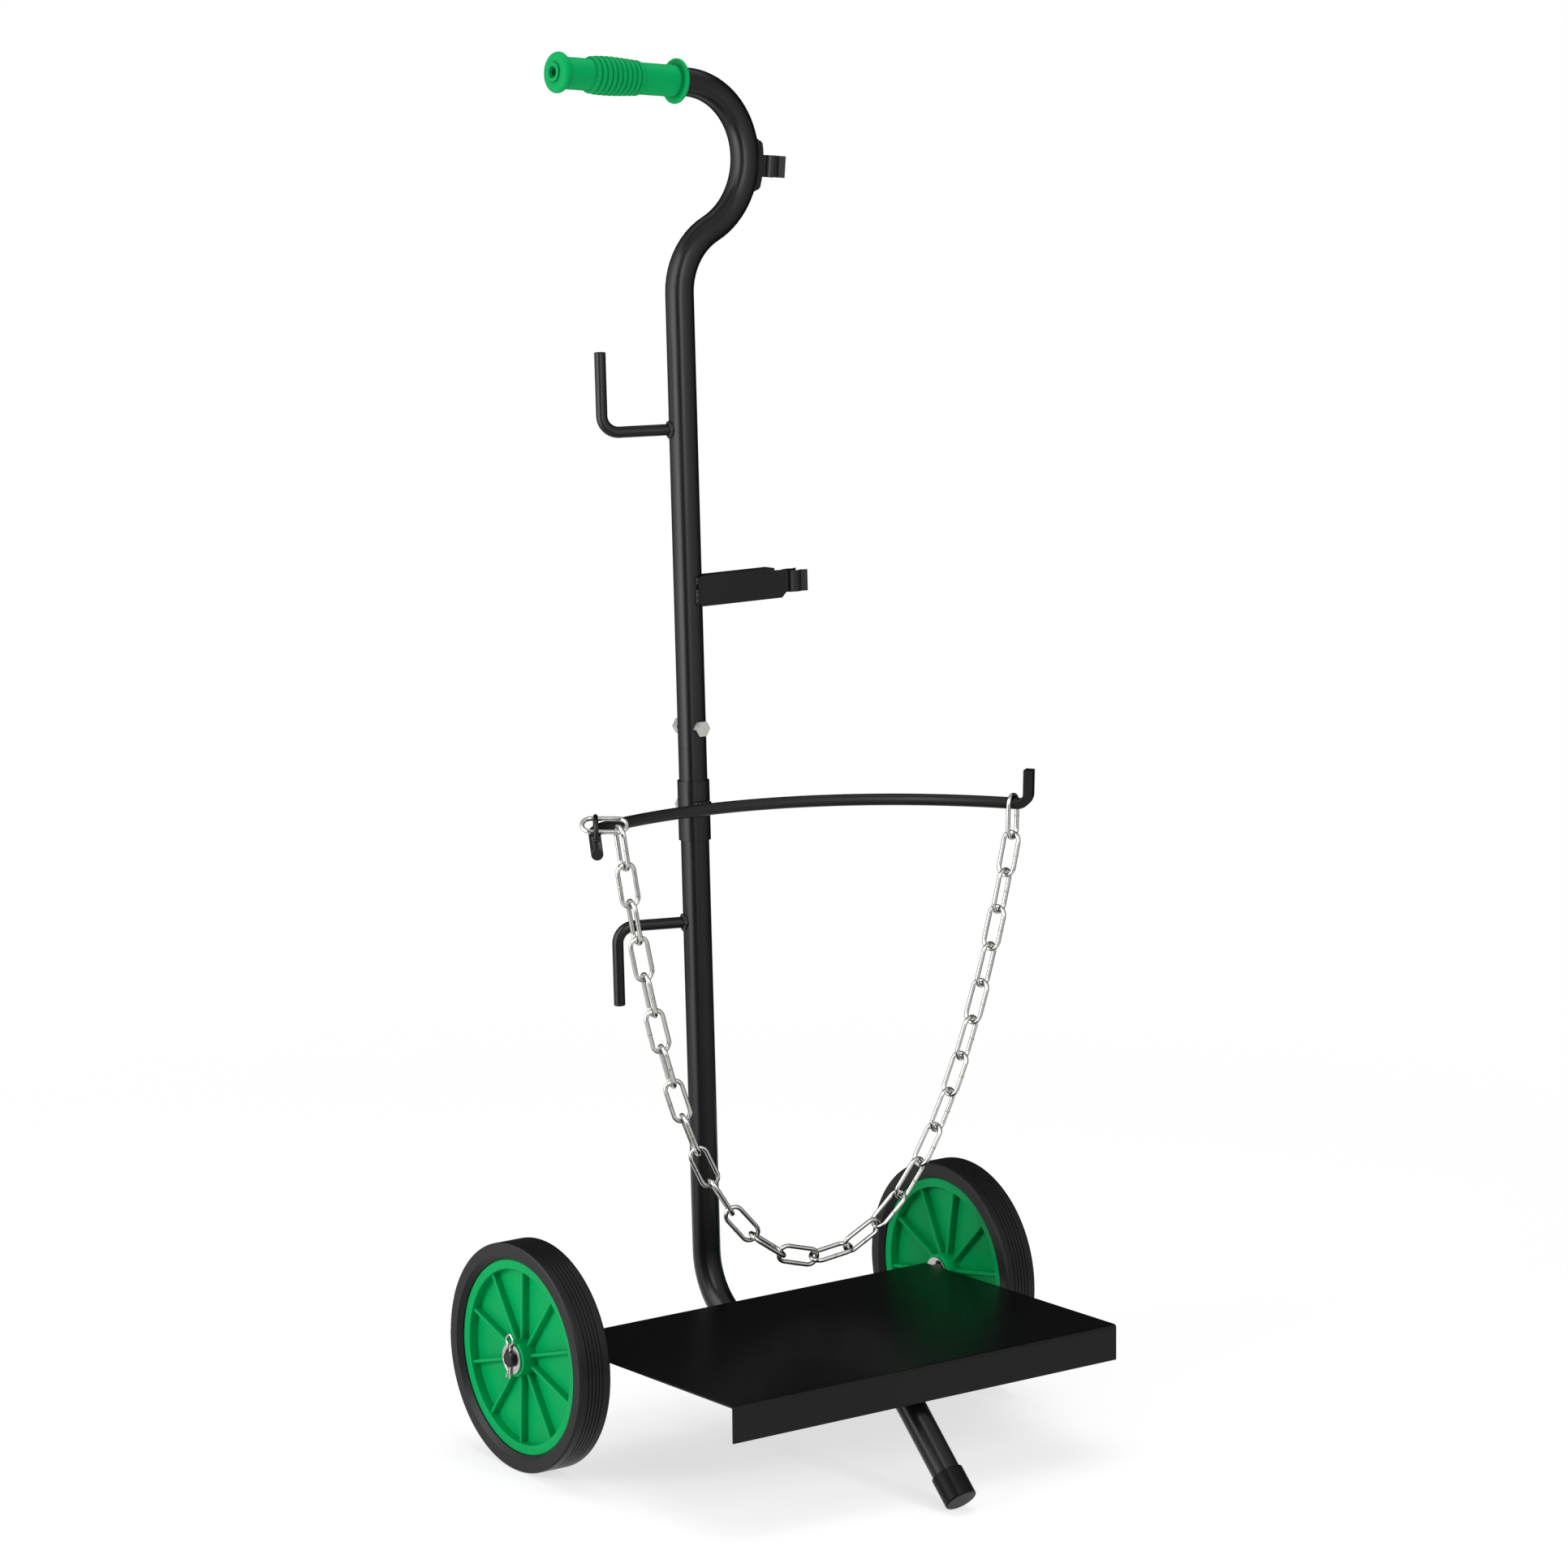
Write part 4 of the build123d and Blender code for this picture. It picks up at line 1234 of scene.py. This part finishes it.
@dataclass
class Studio:
    """The pale floor, the white surround, the glow screen and the soft lamps."""

    floor_size: float = 24.0
    floor_cuts: int = 3
    floor_colour: str = "F6F6F6"
    shadow_share: float = 0.32
    fade_start: float = 0.6
    fade_end: float = 1.7
    ambient: float = 0.4
    mast_middle: Vector = Vector((0.0, 0.1, 0.85))

    def build(self) -> None:
        """Make the floor, the surround, the screen and the lamps."""
        bpy.context.scene.view_settings.view_transform = "Standard"
        self.floor()
        self.surround()
        GlowScreen().build()
        for lamp in self.lamps():
            lamp.build()

    def lamps(self) -> tuple[SoftBox, ...]:
        """Set out the lamps: a tall one at the left, two strips at the mast, one ahead, one above.

        Returns:
            The lamps.
        """
        mast = self.mast_middle
        return (
            SoftBox("tall_softbox", Vector((-3.6, 0.4, 1.3)), width=0.9, height=1.8, power=84.0),
            SoftBox("left_strip", Vector((-1.3, 0.25, 0.85)), 0.4, 1.2, power=4.0, target=mast),
            SoftBox("right_strip", Vector((0.15, -1.4, 0.85)), 0.2, 1.2, power=9.0, target=mast),
            SoftBox("front_softbox", Vector((-0.9, -2.9, 2.3)), width=1.4, height=1.4, power=24.0),
            SoftBox("top_softbox", Vector((0.2, 0.2, 3.2)), width=2.4, height=2.4, power=60.0),
        )

    def floor(self) -> None:
        """Lay the floor: it shows the shadow near the cart and fades to white further out."""
        clear_selection()
        bpy.ops.mesh.primitive_plane_add(size=self.floor_size)
        floor = bpy.context.object
        floor.name = "studio_floor"
        with editing(floor):
            bpy.ops.mesh.select_all(action="SELECT")
            bpy.ops.mesh.subdivide(number_cuts=self.floor_cuts)
        floor.data.materials.append(self.matt_white())

    def matt_white(self) -> bpy.types.Material:
        """Make the floor's matt white, which glows more the further it is from the cart.

        Returns:
            The material.
        """
        made = bpy.data.materials.new("studio_floor")
        tree = empty_tree(made)
        place = put(tree, "ShaderNodeTexCoord").outputs["Object"]
        distance = put(tree, "ShaderNodeVectorMath", {0: place}, operation="LENGTH")
        fade = put(
            tree,
            "ShaderNodeMapRange",
            {
                "Value": distance.outputs["Value"],
                "From Min": self.fade_start,
                "From Max": self.fade_end,
                "To Min": 1 - self.shadow_share,
                "To Max": 1.0,
            },
            interpolation_type="SMOOTHSTEP",
        )
        share = put(
            tree,
            "ShaderNodeMath",
            {0: seen_share(tree), 1: fade.outputs["Result"]},
            operation="MULTIPLY",
        )
        matt = put(tree, "ShaderNodeBsdfDiffuse", {"Color": linear(self.floor_colour)})
        white = put(tree, "ShaderNodeEmission", {"Strength": 1.0})
        mixed = put(
            tree,
            "ShaderNodeMixShader",
            {0: share.outputs["Value"], 1: matt.outputs["BSDF"], 2: white.outputs["Emission"]},
        )
        put(tree, "ShaderNodeOutputMaterial", {"Surface": mixed.outputs["Shader"]})
        return made

    def surround(self) -> None:
        """Make the world white to the eye and in reflections, and a soft light elsewhere."""
        world = bpy.data.worlds.new("studio_surround")
        bpy.context.scene.world = world
        tree = empty_tree(world)
        strength = put(
            tree,
            "ShaderNodeMapRange",
            {"Value": seen_share(tree), "To Min": self.ambient, "To Max": 1.0},
        )
        white = put(
            tree,
            "ShaderNodeBackground",
            {"Color": (1.0, 1.0, 1.0, 1.0), "Strength": strength.outputs["Result"]},
        )
        put(tree, "ShaderNodeOutputWorld", {"Surface": white.outputs["Background"]})


def main() -> None:
    """Build the cart's sub-assemblies in order, then the studio and the camera."""
    logging.basicConfig(level=logging.INFO, format="%(name)s: %(message)s")
    line = MastLine()
    assemblies = (
        Mast(line),
        HandGrip(),
        Deck(),
        WheelSet(),
        RetainingBar(line),
        TorchClips(line),
        ChainSeams(),
    )
    for assembly in assemblies:
        assembly.build()
    Studio().build()
    PhotoCamera().build()


if __name__ == "__main__":
    main()
